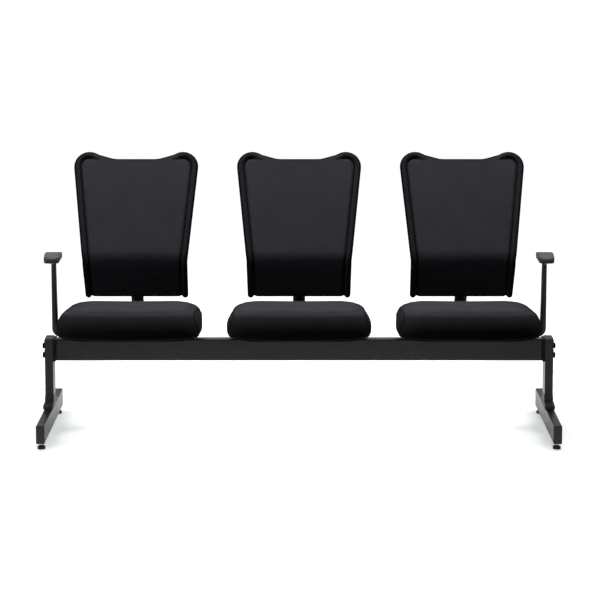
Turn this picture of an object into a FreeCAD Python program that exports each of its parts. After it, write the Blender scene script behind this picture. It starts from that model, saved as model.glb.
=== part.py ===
import FreeCAD, Part
import math
import os
import re
import Sketcher

# Beam seating: three upholstered seats with fabric backs on one steel beam between two legs.
# Millimetres. X runs along the beam, to the right as seen from the front, Y to the rear and Z up.
# Pieces are drawn about a point on the floor below the middle of the beam, and written about a
# point plan_middle ahead of it, below the middle of the whole plan.

Vector = FreeCAD.Vector
X_AXIS = Vector(1, 0, 0)
Y_AXIS = Vector(0, 1, 0)
Z_AXIS = Vector(0, 0, 1)
SIDES = (("left", -1), ("right", 1))
SEATS = (("left", -1), ("middle", 0), ("right", 1))
ENDS = (("front", -1), ("rear", 1))

# Driving sizes: alias, value and meaning. Lengths in millimetres, angles in degrees.
DRIVING_SIZES = (
    ("seat_pitch", 600, "centre to centre of neighbouring seats"),
    ("fit_gap", 0.3, "gap between a piece and a curved or soft neighbour"),
    ("hole_clearance", 0.4, "radial clearance of a bolt in a plain hole"),
    ("thread_clearance", 0.05, "radial clearance of a thread or a running fit"),
    ("beam_height", 80, "beam tube, height"),
    ("beam_depth", 40, "beam tube, front to back"),
    ("beam_wall", 3, "beam tube, wall"),
    ("beam_corner", 6, "beam tube, outer corner radius"),
    ("beam_underside", 252, "floor to the beam's underside"),
    ("leg_spread", 1794, "centre to centre of the two legs"),
    ("leg_width", 30, "column and foot tubes, width along the beam"),
    ("leg_wall", 2.5, "column and foot tubes, wall"),
    ("leg_corner", 4, "column and foot tubes, outer corner radius"),
    ("column_depth", 80, "column tube, front to back"),
    ("column_cap_thickness", 3, "column cap, above the tube"),
    ("plug_depth", 12, "depth of a cap's plug in its tube"),
    ("plug_clearance", 0.2, "clearance of a plug on each side"),
    ("foot_height", 65, "foot tube, height"),
    ("foot_underside", 23, "floor to the foot tube's underside"),
    ("foot_front", 362, "column centre to the foot's front end"),
    ("foot_rear", 293, "column centre to the foot's rear end"),
    ("foot_cap_thickness", 4, "foot cap, beyond the tube"),
    ("end_plate_thickness", 8, "plate at each end of the beam"),
    ("end_plate_depth", 76, "end plate, front to back"),
    ("leg_bolt_radius", 6, "leg bolt, shank radius"),
    ("leg_bolt_flats", 18, "leg bolt, width across flats"),
    ("leg_bolt_head", 7.5, "leg bolt, head height"),
    ("leg_bolt_end", 2, "leg bolt, length beyond the end plate"),
    ("leg_bolt_spread", 56, "leg bolts, front to rear"),
    ("leg_bolt_rise", 34, "leg bolts, lower to upper"),
    ("leg_spacer_radius", 8, "spacer in the column, outer radius"),
    ("collar_height", 42, "collar at the column's base"),
    ("collar_skirt", 13, "collar, height of its wide lower part"),
    ("collar_shoulder", 20, "collar, height of its upper shoulder"),
    ("collar_spread", 55, "collar, how far its skirt stands before the column"),
    ("collar_flank", 3, "collar, how far its skirt stands beside the column"),
    ("collar_wall", 1.5, "collar, wall of its upper part"),
    ("plan_middle", 18.3, "middle of the whole plan, ahead of the beam's middle plane"),
    ("glide_radius", 14, "glide, radius of its disc"),
    ("glide_disc", 10, "glide, height of its disc"),
    ("glide_cone", 3, "glide, height of the cone above its disc"),
    ("glide_stem_radius", 5, "glide, stem radius"),
    ("glide_stem_top", 55, "floor to the stem's top"),
    ("glide_shoulder_radius", 7, "glide, shoulder radius"),
    ("glide_inset", 32, "foot's end to the glide's axis"),
    ("insert_radius", 7.5, "glide bush, outer radius"),
    ("insert_flange_radius", 11, "glide bush, flange radius"),
    ("insert_flange", 2, "glide bush, flange thickness"),
    ("insert_height", 22, "glide bush, height inside the foot"),
    ("locknut_flats", 16, "lock nut, width across flats"),
    ("locknut_height", 6, "lock nut, height"),
    ("screw_radius", 4, "seat and bracket bolts, shank radius"),
    ("screw_flats", 13, "seat and bracket bolts, width across flats"),
    ("screw_head", 5.3, "seat and bracket bolts, head height"),
    ("beam_insert_radius", 5.5, "threaded insert in the beam, outer radius"),
    ("beam_insert_depth", 15, "threaded insert in the beam, depth"),
    ("bracket_base_length", 150, "bracket's base on the beam, along the beam"),
    ("bracket_base_thickness", 5, "bracket's base, thickness"),
    ("bracket_bolt_spread", 120, "bracket bolts, along the beam"),
    ("bracket_bolt_rows", 20, "bracket bolts, front row to rear row"),
    ("bracket_web_spacing", 85, "bracket's webs, centre to centre"),
    ("bracket_web_depth", 180, "bracket's webs, front to back"),
    ("bracket_plate", 5, "bracket's webs and top plate, thickness"),
    ("bracket_top_length", 200, "bracket's top plate, along the beam"),
    ("bracket_top_depth", 240, "bracket's top plate, front to back"),
    ("bracket_shift", 30, "bracket's top plate, centre before the beam's"),
    ("bracket_rise", 27, "bracket, from its base's top to its plate's top"),
    ("pan_screw_spread", 160, "corner screws of the pan, along the beam"),
    ("pan_screw_rows", 190, "corner screws of the pan, front to rear"),
    ("pan_width", 430, "seat pan, width"),
    ("pan_depth", 400, "seat pan, front to back"),
    ("pan_thickness", 12, "seat pan, thickness"),
    ("pan_corner", 60, "seat pan, corner radius"),
    ("pan_shift", 42, "seat pan, centre before the beam's centre"),
    ("screw_cover", 2, "pan left above a screw's end"),
    ("cushion_front", 310, "beam centre to the cushion's front"),
    ("cushion_rear", 203, "beam centre to the cushion's rear"),
    ("cushion_rear_half", 246, "cushion, half width near the rear"),
    ("cushion_waist_half", 250, "cushion, half width at the waist"),
    ("cushion_half", 257, "cushion, half width at the widest place"),
    ("cushion_skirt", 8, "cushion, how far its lower edge reaches down round the pan"),
    ("cushion_height", 97.5, "cushion, height from its lower edge to its crown"),
    ("cushion_crown", 4, "cushion, rise of the crown over the rolled edge"),
    ("cushion_edge", 70, "cushion, width of the rolled upper edge"),
    ("cushion_waist_height", 26, "cushion, height of its widest line"),
    ("cushion_tuck", 9, "cushion, how far its lower edge draws in"),
    ("cushion_nose", 30, "cushion, how much more its lower edge draws in at the front"),
    ("cushion_pocket_gap", 1, "cushion, gap round the pan"),
    ("cushion_slope", 4.5, "cushion, slope of its top down to the rear"),
    ("bar_width", 45, "back bar, width"),
    ("bar_thickness", 8, "back bar, thickness"),
    ("bar_bend", 45, "back bar, bend radius at mid thickness"),
    ("bar_front", 100, "back bar, start before the beam's centre"),
    ("bar_reach", 146, "back bar, length up the back from the hem"),
    ("bar_screw_front", 75, "back bar, front screw before the beam's centre"),
    ("bar_screw_rear", 45, "back bar, rear screw behind the beam's centre"),
    ("lumbar_height", 586, "floor to the bend of the back"),
    ("lumbar_setback", 162.65, "beam centre to the bend of the back"),
    ("lumbar_radius", 70, "bend of the back, radius at mid thickness"),
    ("back_recline", 22, "upper back, angle from the vertical"),
    ("back_undercut", 38, "lower back, angle from the vertical"),
    ("back_lower_length", 181, "lower back, from the bend to the hem"),
    ("back_hem_half", 178.8, "side tube at the hem, distance from the seat's centre"),
    ("back_lumbar_half", 180.8, "side tube at the bend, distance from the seat's centre"),
    ("back_corner_half", 225.2, "corner of the side tube's line, distance from centre"),
    ("back_corner_length", 434, "bend to the corner of the side tube's line"),
    ("back_tip_half", 142, "side tube's upper end, distance from the seat's centre"),
    ("back_tip_length", 394, "bend to the side tube's upper end"),
    ("back_ear_radius", 45, "ear of the back, radius of the tube's centre line"),
    ("back_shoulder_half", 128, "shoulder of the cloth beside the tube's upper end"),
    ("back_shoulder_length", 402, "bend to the shoulder of the cloth"),
    ("back_sag_half", 80, "flat middle of the back's top edge, half length"),
    ("back_sag_length", 388, "bend to the flat middle of the back's top edge"),
    ("back_tube_radius", 9.5, "side tube, radius"),
    ("back_tube_wall", 1.5, "side tube, wall"),
    ("tube_plug_length", 5, "side tube's lower plug, visible length"),
    ("back_tube_end", 2, "side tube, length below the hem"),
    ("sleeve_fabric", 1.5, "sleeve's fabric over a side tube"),
    ("sleeve_ease", 0.5, "gap between fabric and side tube"),
    ("panel_half", 7, "sleeve between the tubes, half thickness"),
    ("panel_fabric", 2, "sleeve between the tubes, thickness of a layer"),
    ("lumbar_plate_low", 30, "hem to the lumbar plate's lower edge"),
    ("lumbar_plate_height", 105, "lumbar plate, height"),
    ("lumbar_plate_thickness", 4, "lumbar plate, thickness"),
    ("back_bolt_low", 60, "hem to the lower back bolt"),
    ("back_bolt_step", 50, "lower back bolt to the upper one"),
    ("back_bolt_head_radius", 7, "back bolt, head radius"),
    ("back_bolt_head", 4.4, "back bolt, head height"),
    ("crossbar_radius", 4, "crossbar in the upper back, radius"),
    ("crossbar_length_up", 230, "bend to the crossbar"),
    ("arm_outer", 281, "outer seat's centre to the arm's outer face"),
    ("arm_width_top", 14.6, "arm's post at its top, along the beam"),
    ("arm_width_low", 19.5, "arm's post at its bend, along the beam"),
    ("arm_depth", 46, "arm's post, front to back"),
    ("arm_forward", 50, "arm's centre before the beam's centre"),
    ("arm_foot_thickness", 16, "arm's foot under the seat, thickness"),
    ("arm_foot_end", 160, "outer seat's centre to the arm foot's end"),
    ("arm_bend", 30, "arm's bend, outer radius"),
    ("arm_edge", 6, "arm, rounding of its long edges"),
    ("arm_bolt_outer", 205, "outer seat's centre to the arm's outer bolt"),
    ("arm_bolt_inner", 175, "outer seat's centre to the arm's inner bolt"),
    ("pad_height", 621, "floor to the arm pad's underside, at the post"),
    ("pad_length", 222, "arm pad, length"),
    ("pad_rear_width", 61, "arm pad, width near the rear"),
    ("pad_front_width", 54, "arm pad, width near the front"),
    ("pad_thickness", 27, "arm pad, thickness at its crown"),
    ("pad_tilt", 3, "arm pad, rise towards the front"),
    ("pad_toe", 3, "arm pad, turn of its front towards the seat"),
    ("pad_offset", 277, "outer seat's centre to the arm pad's middle"),
    ("arm_head_length", 130, "plate at the arm's head, front to back"),
    ("arm_head_width", 38, "plate at the arm's head, width"),
    ("arm_head_thickness", 5, "plate at the arm's head, thickness"),
    ("pad_screw_radius", 3, "arm pad screw, shank radius"),
    ("pad_screw_flats", 10, "arm pad screw, width across flats"),
    ("pad_screw_head", 4, "arm pad screw, head height"),
    ("pad_screw_spread", 96, "arm pad screws, front to rear"),
    ("pad_screw_depth", 14, "arm pad screws, depth in the pad"),
)

# Heights and places that follow from the driving sizes.
DERIVED_SIZES = (
    ("beam_top", "=beam_underside + beam_height"),
    ("beam_centre", "=beam_underside + beam_height / 2"),
    ("leg_centre", "=leg_spread / 2"),
    ("leg_outer", "=leg_spread / 2 + leg_width / 2"),
    ("leg_inner", "=leg_spread / 2 - leg_width / 2"),
    ("beam_length", "=2 * (leg_inner - end_plate_thickness)"),
    ("foot_top", "=foot_underside + foot_height"),
    ("foot_tube_length", "=foot_front + foot_rear - 2 * foot_cap_thickness"),
    ("foot_centre", "=(foot_rear - foot_front) / 2"),
    ("column_height", "=beam_top - foot_top"),
    ("insert_underside", "=foot_underside - insert_flange"),
    ("locknut_underside", "=insert_underside - locknut_height"),
    ("glide_shoulder_top", "=locknut_underside - fit_gap"),
    ("bracket_base_top", "=beam_top + bracket_base_thickness"),
    ("pan_underside", "=bracket_base_top + bracket_rise"),
    ("pan_top", "=pan_underside + pan_thickness"),
    ("bracket_plate_underside", "=pan_underside - bracket_plate"),
    ("bar_underside", "=bracket_plate_underside - bar_thickness"),
    ("screw_end", "=pan_top - screw_cover"),
    ("arm_foot_underside", "=pan_underside - arm_foot_thickness"),
    ("hole_radius", "=screw_radius + hole_clearance"),
    ("thread_radius", "=screw_radius + thread_clearance"),
    ("sleeve_radius", "=back_tube_radius + sleeve_ease + sleeve_fabric"),
    ("cavity_radius", "=back_tube_radius + sleeve_ease"),
    ("cavity_half", "=panel_half - panel_fabric"),
    ("back_low", "=-back_lower_length"),
)

document = FreeCAD.newDocument("beam_seating")
sheet = document.addObject("Spreadsheet::Sheet", "Sizes")
for row, (alias, value, meaning) in enumerate(DRIVING_SIZES, 1):
    sheet.set(f"A{row}", meaning)
    sheet.set(f"B{row}", str(value))
    sheet.setAlias(f"B{row}", alias)
for row, (alias, formula) in enumerate(DERIVED_SIZES, len(DRIVING_SIZES) + 2):
    sheet.set(f"B{row}", formula)
    sheet.setAlias(f"B{row}", alias)
document.recompute()
ALIASES = {entry[0] for entry in DRIVING_SIZES + DERIVED_SIZES}
nodes = []


def size(alias):
    """Value of one cell of the sheet."""
    return float(sheet.get(alias))


def expression(words):
    """The text with each alias pointing into the sheet."""
    return re.sub(r"[a-z_]+", lambda m: "Sizes." + m[0] if m[0] in ALIASES else m[0], words)


def bind(item, **bindings):
    """Ties properties of an item to expressions; at_x, at_y and at_z are its place."""
    for name, words in bindings.items():
        item.setExpression(name.replace("at_", "Placement.Base."), expression(words))
    return item


def box(name, lengths, centre):
    """Box about a centre; both are expressions along X, Y and Z."""
    item = document.addObject("Part::Box", name)
    bind(item, Length=lengths[0], Width=lengths[1], Height=lengths[2])
    corner = [f"({middle}) - ({length}) / 2" for middle, length in zip(centre, lengths)]
    return bind(item, at_x=corner[0], at_y=corner[1], at_z=corner[2])


def slab(name, lengths, centre, underside):
    """Box about a centre in X and Y that stands on a height."""
    return box(name, lengths, (centre[0], centre[1], f"{underside} + ({lengths[2]}) / 2"))


def turned(item, axis):
    """Points an item that stands along Z along another direction."""
    item.Placement = FreeCAD.Placement(Vector(), FreeCAD.Rotation(Z_AXIS, axis))
    return item


def rod(name, radius, length, start, axis=Z_AXIS):
    """Cylinder from a start point along an axis."""
    item = turned(document.addObject("Part::Cylinder", name), axis)
    bind(item, Radius=radius, Height=length)
    return bind(item, at_x=start[0], at_y=start[1], at_z=start[2])


def hexagon(name, flats, length, start, axis=Z_AXIS):
    """Hexagonal prism from a start point along an axis."""
    item = turned(document.addObject("Part::Prism", name), axis)
    item.Polygon = 6
    bind(item, Circumradius=f"({flats}) / sqrt(3)", Height=length)
    return bind(item, at_x=start[0], at_y=start[1], at_z=start[2])


def joined(name, items):
    """One solid from overlapping or touching items."""
    item = document.addObject("Part::MultiFuse", name)
    item.Shapes = items
    return item


def cut(name, base, tools):
    """A base less its tools."""
    item = document.addObject("Part::Cut", name)
    item.Base = base
    item.Tool = tools[0] if len(tools) == 1 else joined(name + "_tools", tools)
    return item


def group(name, items):
    """Separate solids kept as one node."""
    item = document.addObject("Part::Compound", name)
    item.Links = items
    return item


def edges_along(shape, axis):
    """Numbers of the straight edges that run along an axis."""
    numbers = []
    for number, edge in enumerate(shape.Edges, 1):
        if isinstance(edge.Curve, Part.Line) and abs(edge.Curve.Direction.dot(axis)) > 0.999:
            numbers.append(number)
    return numbers


def rounded(name, base, radius, numbers):
    """Fillet of the edges with these numbers."""
    item = document.addObject("Part::Fillet", name)
    item.Base = base
    item.Edges = [(number, radius, radius) for number in numbers]
    return item


def feature(name, shape, at_x="0", place=None):
    """A shape made here, placed along the beam and, where it has one, turned into its place."""
    item = document.addObject("Part::Feature", name)
    item.Shape = shape
    item.Placement = place or FreeCAD.Placement()
    return bind(item, at_x=at_x)


def node(name, item):
    """Gives a finished piece its name, which names its file."""
    item.Label = name
    nodes.append(item)
    return item


def rectangle_sketch(body, name, plane, across, up):
    """Centred rectangle on one of the body's own planes."""
    sketch = body.newObject("Sketcher::SketchObject", name)
    support = [entry for entry in body.Origin.OriginFeatures if entry.Role == plane]
    sketch.AttachmentSupport = [(support[0], "")]
    sketch.MapMode = "FlatFace"
    corners = [Vector(-1, -1, 0), Vector(1, -1, 0), Vector(1, 1, 0), Vector(-1, 1, 0)]
    for index, corner in enumerate(corners):
        sketch.addGeometry(Part.LineSegment(corner, corners[(index + 1) % 4]))
    for index in range(4):
        sketch.addConstraint(Sketcher.Constraint("Coincident", index, 2, (index + 1) % 4, 1))
    for index, kind in enumerate(("Horizontal", "Vertical", "Horizontal", "Vertical")):
        sketch.addConstraint(Sketcher.Constraint(kind, index))
    sketch.addConstraint(Sketcher.Constraint("Symmetric", 0, 1, 2, 1, -1, 1))
    wide = sketch.addConstraint(Sketcher.Constraint("DistanceX", 0, 1, 0, 2, 2))
    high = sketch.addConstraint(Sketcher.Constraint("DistanceY", 1, 1, 1, 2, 2))
    sketch.setExpression(f"Constraints[{wide}]", expression(across))
    sketch.setExpression(f"Constraints[{high}]", expression(up))
    return sketch


def padded_body(name, plane, across, up, length, corner, axis):
    """Body with a centred rectangle, padded both ways and rounded along its long edges."""
    body = document.addObject("PartDesign::Body", name)
    pad = body.newObject("PartDesign::Pad", name + "_pad")
    pad.Profile = rectangle_sketch(body, name + "_outline", plane, across, up)
    pad.SideType = "Symmetric"
    pad.setExpression("Length", expression(length))
    document.recompute()
    fillet = body.newObject("PartDesign::Fillet", name + "_corners")
    fillet.Base = (pad, [f"Edge{number}" for number in edges_along(pad.Shape, axis)])
    fillet.setExpression("Radius", expression(corner))
    document.recompute()
    return body


def tube_body(name, plane, across, up, length, wall, corner, axis):
    """Rectangular tube with rounded corners inside and outside."""
    body = padded_body(name, plane, across, up, length, corner, axis)
    solid_volume = body.Shape.Volume
    inner = [f"({extent}) - 2 * ({wall})" for extent in (across, up)]
    pocket = body.newObject("PartDesign::Pocket", name + "_bore")
    pocket.Profile = rectangle_sketch(body, name + "_inside", plane, inner[0], inner[1])
    pocket.SideType = "Symmetric"
    pocket.Type = "ThroughAll"
    document.recompute()
    if pocket.Shape.Volume >= solid_volume:
        raise RuntimeError(f"{name} has no bore")
    half_across = size_of(inner[0]) / 2
    numbers = []
    for number in edges_along(pocket.Shape, axis):
        edge = pocket.Shape.Edges[number - 1]
        reach = across_reach(edge, plane)
        if abs(reach - half_across) < 0.01:
            numbers.append(number)
    fillet = body.newObject("PartDesign::Fillet", name + "_inner_corners")
    fillet.Base = (pocket, [f"Edge{number}" for number in numbers])
    fillet.setExpression("Radius", expression(f"({corner}) - ({wall})"))
    document.recompute()
    return body


def size_of(words):
    """Value of an expression of aliases and numbers."""
    return float(sheet.evalExpression(re.sub(r"Sizes\.", "", words)))


def across_reach(edge, plane):
    """Distance of an edge from the middle plane, along the sketch's first axis."""
    middle = edge.BoundBox.Center
    return abs(middle.y) if plane == "YZ_Plane" else abs(middle.x)


def corner_arc(before, corner, after, radius):
    """Start, middle and end of the arc that rounds a corner."""
    arriving = (corner - before).normalize()
    leaving = (after - corner).normalize()
    turn = arriving.getAngle(leaving)
    reach = radius * math.tan(turn / 2)
    start = corner - arriving * reach
    end = corner + leaving * reach
    inward = (leaving - arriving).normalize()
    middle = corner + inward * (radius / math.cos(turn / 2) - radius)
    return start, middle, end


def rounded_edges(points, radii, closed):
    """Lines and tangent arcs through points; a radius of 0 keeps its corner."""
    count = len(points)
    arcs = []
    for index, (point, radius) in enumerate(zip(points, radii)):
        if radius == 0 or (not closed and index in (0, count - 1)):
            arcs.append((point, None, point))
        else:
            arcs.append(corner_arc(points[index - 1], point, points[(index + 1) % count], radius))
    edges = []
    for index, (start, middle, end) in enumerate(arcs):
        if middle is not None:
            edges.append(Part.Arc(start, middle, end).toShape())
        if index == count - 1 and not closed:
            break
        following = arcs[(index + 1) % count][0]
        if end.distanceToPoint(following) > 1e-4:
            edges.append(Part.LineSegment(end, following).toShape())
    return edges


def rounded_wire(points, radii, closed=True):
    """Wire of lines and tangent arcs."""
    return Part.Wire(Part.__sortEdges__(rounded_edges(points, radii, closed)))


def prism(points, radii, direction):
    """Solid from a closed rounded outline, pushed along a direction."""
    return Part.Face(rounded_wire(points, radii)).extrude(direction)


def beside(points, distance):
    """Corners of the line that runs beside a flat line of (y, z) points, to its left."""
    shifted = []
    for (y1, z1), (y2, z2) in zip(points, points[1:]):
        length = math.hypot(y2 - y1, z2 - z1)
        across = (-(z2 - z1) / length * distance, (y2 - y1) / length * distance)
        shifted.append(((y1 + across[0], z1 + across[1]), (y2 + across[0], z2 + across[1])))
    corners = [shifted[0][0]]
    for ((ay, az), (by, bz)), ((cy, cz), (dy, dz)) in zip(shifted, shifted[1:]):
        slope = (by - ay) * (dz - cz) - (bz - az) * (dy - cy)
        share = ((cy - ay) * (dz - cz) - (cz - az) * (dy - cy)) / slope
        corners.append((ay + share * (by - ay), az + share * (bz - az)))
    corners.append(shifted[-1][1])
    return corners


def strip(points, bend, half, width):
    """Flat bar along a line of (y, z) points, all bends to the left, centred in X."""
    left = [Vector(-width / 2, y, z) for y, z in beside(points, half)]
    right = [Vector(-width / 2, y, z) for y, z in beside(points, -half)]
    bends = len(points) - 2
    radii = [0] + [bend - half] * bends + [0, 0] + [bend + half] * bends + [0]
    return prism(left + right[::-1], radii, Vector(width, 0, 0))


def pipe(path, radius):
    """Round solid along a path."""
    first = path.OrderedEdges[0]
    start = first.valueAt(first.FirstParameter)
    direction = first.tangentAt(first.FirstParameter)
    outline = Part.Wire(Part.makeCircle(radius, start, direction))
    return path.makePipeShell([outline], True, False)


def beam():
    """The beam, its end plates and the threaded inserts in its top."""
    tube = tube_body(
        "beam_tube", "YZ_Plane", "beam_depth", "beam_height", "beam_length",
        "beam_wall", "beam_corner", X_AXIS,
    )
    bind(tube, at_z="beam_centre")
    holes = []
    inserts = []
    for index, (at_x, at_y) in enumerate(bracket_bolt_places()):
        start = (at_x, at_y, "beam_top - beam_insert_depth")
        holes.append(
            rod(f"insert_hole_{index}", "beam_insert_radius + thread_clearance",
                "beam_insert_depth + 1", start)
        )
        outside = rod(f"insert_body_{index}", "beam_insert_radius", "beam_insert_depth", start)
        bore = rod(f"insert_bore_{index}", "thread_radius", "beam_insert_depth", start)
        inserts.append(cut(f"insert_{index}", outside, [bore]))
    node("beam", cut("beam_with_holes", tube, holes))
    node("beam_inserts", group("inserts", inserts))
    for side, sign in SIDES:
        middle = f"{sign} * (leg_inner - end_plate_thickness / 2)"
        lengths = ("end_plate_thickness", "end_plate_depth", "beam_height")
        plate = box(f"end_plate_blank_{side}", lengths, (middle, "0", "beam_centre"))
        taps = []
        for index, (at_y, at_z) in enumerate(leg_bolt_places()):
            start = (f"{sign} * (leg_inner - end_plate_thickness - 1)", at_y, at_z)
            taps.append(
                rod(f"end_plate_tap_{side}_{index}", "leg_bolt_radius + thread_clearance",
                    "end_plate_thickness + 2", start, X_AXIS * sign)
            )
        node(f"end_plate_{side}", cut(f"end_plate_tapped_{side}", plate, taps))


def leg_bolt_places():
    """Y and Z of a leg's four bolts."""
    for row in (-1, 1):
        for level in (-1, 1):
            yield f"{row} * leg_bolt_spread / 2", f"beam_centre + {level} * leg_bolt_rise / 2"


def bracket_bolt_places():
    """X and Y of the bolts that hold the three brackets."""
    for _, index in SEATS:
        for across in (-1, 1):
            for row in (-1, 1):
                at_x = f"{index} * seat_pitch + {across} * bracket_bolt_spread / 2"
                yield at_x, f"{row} * bracket_bolt_rows / 2"


def leg(side, sign):
    """One column with its collar and the foot below it."""
    at_x = f"{sign} * leg_centre"
    column = tube_body(
        f"column_tube_{side}", "XY_Plane", "leg_width", "column_depth", "column_height",
        "leg_wall", "leg_corner", Z_AXIS,
    )
    bind(column, at_x=at_x, at_z="foot_top + column_height / 2")
    holes = []
    for index, (at_y, at_z) in enumerate(leg_bolt_places()):
        start = (f"{sign} * (leg_inner - 1)", at_y, at_z)
        holes.append(
            rod(f"column_hole_{side}_{index}", "leg_bolt_radius + hole_clearance",
                "leg_width + 2", start, X_AXIS * sign)
        )
    node(f"column_{side}", cut(f"column_drilled_{side}", column, holes))
    foot = tube_body(
        f"foot_tube_{side}", "XZ_Plane", "leg_width", "foot_height", "foot_tube_length",
        "leg_wall", "leg_corner", Y_AXIS,
    )
    bind(foot, at_x=at_x, at_y="foot_centre", at_z="foot_underside + foot_height / 2")
    bores = []
    for end, _ in ENDS:
        start = (at_x, glide_place(end), "foot_underside - 1")
        bores.append(
            rod(f"foot_bore_{side}_{end}", "insert_radius + thread_clearance",
                "leg_wall + 2", start)
        )
    node(f"foot_{side}", cut(f"foot_drilled_{side}", foot, bores))
    node(f"collar_{side}", feature(f"collar_shape_{side}", collar_shape(), at_x))


def rounded_rectangle(width, depth, radius, height):
    """Rounded rectangle about the Z axis at a height."""
    points = [Vector(x * width / 2, y * depth / 2, height)
              for x, y in ((-1, -1), (1, -1), (1, 1), (-1, 1))]
    return rounded_wire(points, [radius] * 4)


def collar_shape():
    """Collar round the column: a wide skirt, a shoulder and a thin upper rim."""
    foot_top = size("foot_top")
    width = size("leg_width")
    depth = size("column_depth")
    wall = size("collar_wall")
    corner = size("leg_corner")
    skirt = (width + 2 * size("collar_flank"), depth + 2 * size("collar_spread"))
    upper = (width + 2 * wall, depth + 2 * wall)
    rim = (width + wall, depth + wall)
    chamfer = 2 * wall
    levels = (
        (0, skirt),
        (size("collar_skirt"), skirt),
        (size("collar_shoulder"), upper),
        (size("collar_height") - chamfer, upper),
        (size("collar_height"), rim),
    )
    outlines = [rounded_rectangle(w, d, corner + wall, foot_top + z) for z, (w, d) in levels]
    outside = Part.makeLoft(outlines, True, True)
    gap = 2 * size("plug_clearance")
    passage = rounded_rectangle(width + gap, depth + gap, corner + gap / 2, foot_top)
    return outside.cut(Part.Face(passage).extrude(Vector(0, 0, size("collar_height"))))


def glide_place(end):
    """Y of a glide's axis."""
    return "glide_inset - foot_front" if end == "front" else "foot_rear - glide_inset"


def plug(name, widths, thickness, centre, axis):
    """Cap on a rectangular tube with a plug inside; widths along X and along the other way."""
    inner = [f"({width}) - 2 * (leg_wall + plug_clearance)" for width in widths]
    if axis == "z":
        plate = slab(name + "_plate", (widths[0], widths[1], thickness), centre[:2], centre[2])
        neck = slab(name + "_neck", (inner[0], inner[1], "plug_depth"), centre[:2],
                    f"{centre[2]} - plug_depth")
        return soft_plug(name, plate, neck, Z_AXIS)
    sign = axis
    plate = box(name + "_plate", (widths[0], thickness, widths[1]),
                (centre[0], f"{centre[1]} + {sign} * ({thickness}) / 2", centre[2]))
    neck = box(name + "_neck", (inner[0], "plug_depth", inner[1]),
               (centre[0], f"{centre[1]} - {sign} * plug_depth / 2", centre[2]))
    return soft_plug(name, plate, neck, Y_AXIS)


def soft_plug(name, plate, neck, axis):
    """A cap's plate and neck in one, with their corners rounded as the tube's."""
    document.recompute()
    corners = rounded(name + "_corners", plate, size("leg_corner"),
                      edges_along(plate.Shape, axis))
    inner_corners = rounded(name + "_neck_corners", neck, size("leg_corner") - size("leg_wall"),
                            edges_along(neck.Shape, axis))
    return joined(name, [corners, inner_corners])


def leg_details():
    """Caps, bolts, spacers, glide bushes, lock nuts and glides of both legs."""
    column_caps = []
    foot_caps = []
    bolts = []
    spacers = []
    bushes = []
    locknuts = []
    for side, sign in SIDES:
        at_x = f"{sign} * leg_centre"
        column_caps.append(
            plug(f"column_cap_{side}", ("leg_width", "column_depth"), "column_cap_thickness",
                 (at_x, "0", "beam_top"), "z")
        )
        for end, direction in ENDS:
            reach = "foot_front" if end == "front" else "foot_rear"
            tube_end = f"{direction} * ({reach} - foot_cap_thickness)"
            foot_caps.append(
                plug(f"foot_cap_{side}_{end}", ("leg_width", "foot_height"),
                     "foot_cap_thickness",
                     (at_x, tube_end, "foot_underside + foot_height / 2"), direction)
            )
        inward = X_AXIS * -sign
        for index, (at_y, at_z) in enumerate(leg_bolt_places()):
            name = f"{side}_{index}"
            face = (f"{sign} * leg_outer", at_y, at_z)
            head = hexagon(f"leg_bolt_head_{name}", "leg_bolt_flats", "leg_bolt_head", face,
                           X_AXIS * sign)
            shank = rod(f"leg_bolt_shank_{name}", "leg_bolt_radius",
                        "leg_width + end_plate_thickness + leg_bolt_end", face, inward)
            bolts.append(joined(f"leg_bolt_{name}", [head, shank]))
            start = (f"{sign} * (leg_outer - leg_wall - thread_clearance)", at_y, at_z)
            length = "leg_width - 2 * (leg_wall + thread_clearance)"
            outside = rod(f"leg_spacer_body_{name}", "leg_spacer_radius", length, start, inward)
            bore = rod(f"leg_spacer_bore_{name}", "leg_bolt_radius + hole_clearance", length,
                       start, inward)
            spacers.append(cut(f"leg_spacer_{name}", outside, [bore]))
        for end, _ in ENDS:
            at_y = glide_place(end)
            bushes.append(bush(f"{side}_{end}", at_x, at_y))
            start = (at_x, at_y, "locknut_underside")
            nut = hexagon(f"locknut_body_{side}_{end}", "locknut_flats", "locknut_height", start)
            bore = rod(f"locknut_bore_{side}_{end}", "glide_stem_radius + thread_clearance",
                       "locknut_height", start)
            locknuts.append(cut(f"locknut_{side}_{end}", nut, [bore]))
            node(f"glide_{end}_{side}", glide(f"{side}_{end}", at_x, at_y))
    node("column_caps", group("column_cap_pair", column_caps))
    node("foot_caps", group("foot_cap_set", foot_caps))
    node("leg_bolts", group("leg_bolt_set", bolts))
    node("leg_spacers", group("leg_spacer_set", spacers))
    node("glide_inserts", group("glide_insert_set", bushes))
    node("glide_locknuts", group("locknut_set", locknuts))


def bush(name, at_x, at_y):
    """Threaded bush in a foot's underside, with a flange below."""
    start = (at_x, at_y, "insert_underside")
    flange = rod(f"bush_flange_{name}", "insert_flange_radius", "insert_flange", start)
    body = rod(f"bush_body_{name}", "insert_radius", "insert_flange + insert_height", start)
    bore = rod(f"bush_bore_{name}", "glide_stem_radius + thread_clearance",
               "insert_flange + insert_height", start)
    return cut(f"bush_{name}", joined(f"bush_blank_{name}", [flange, body]), [bore])


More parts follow.
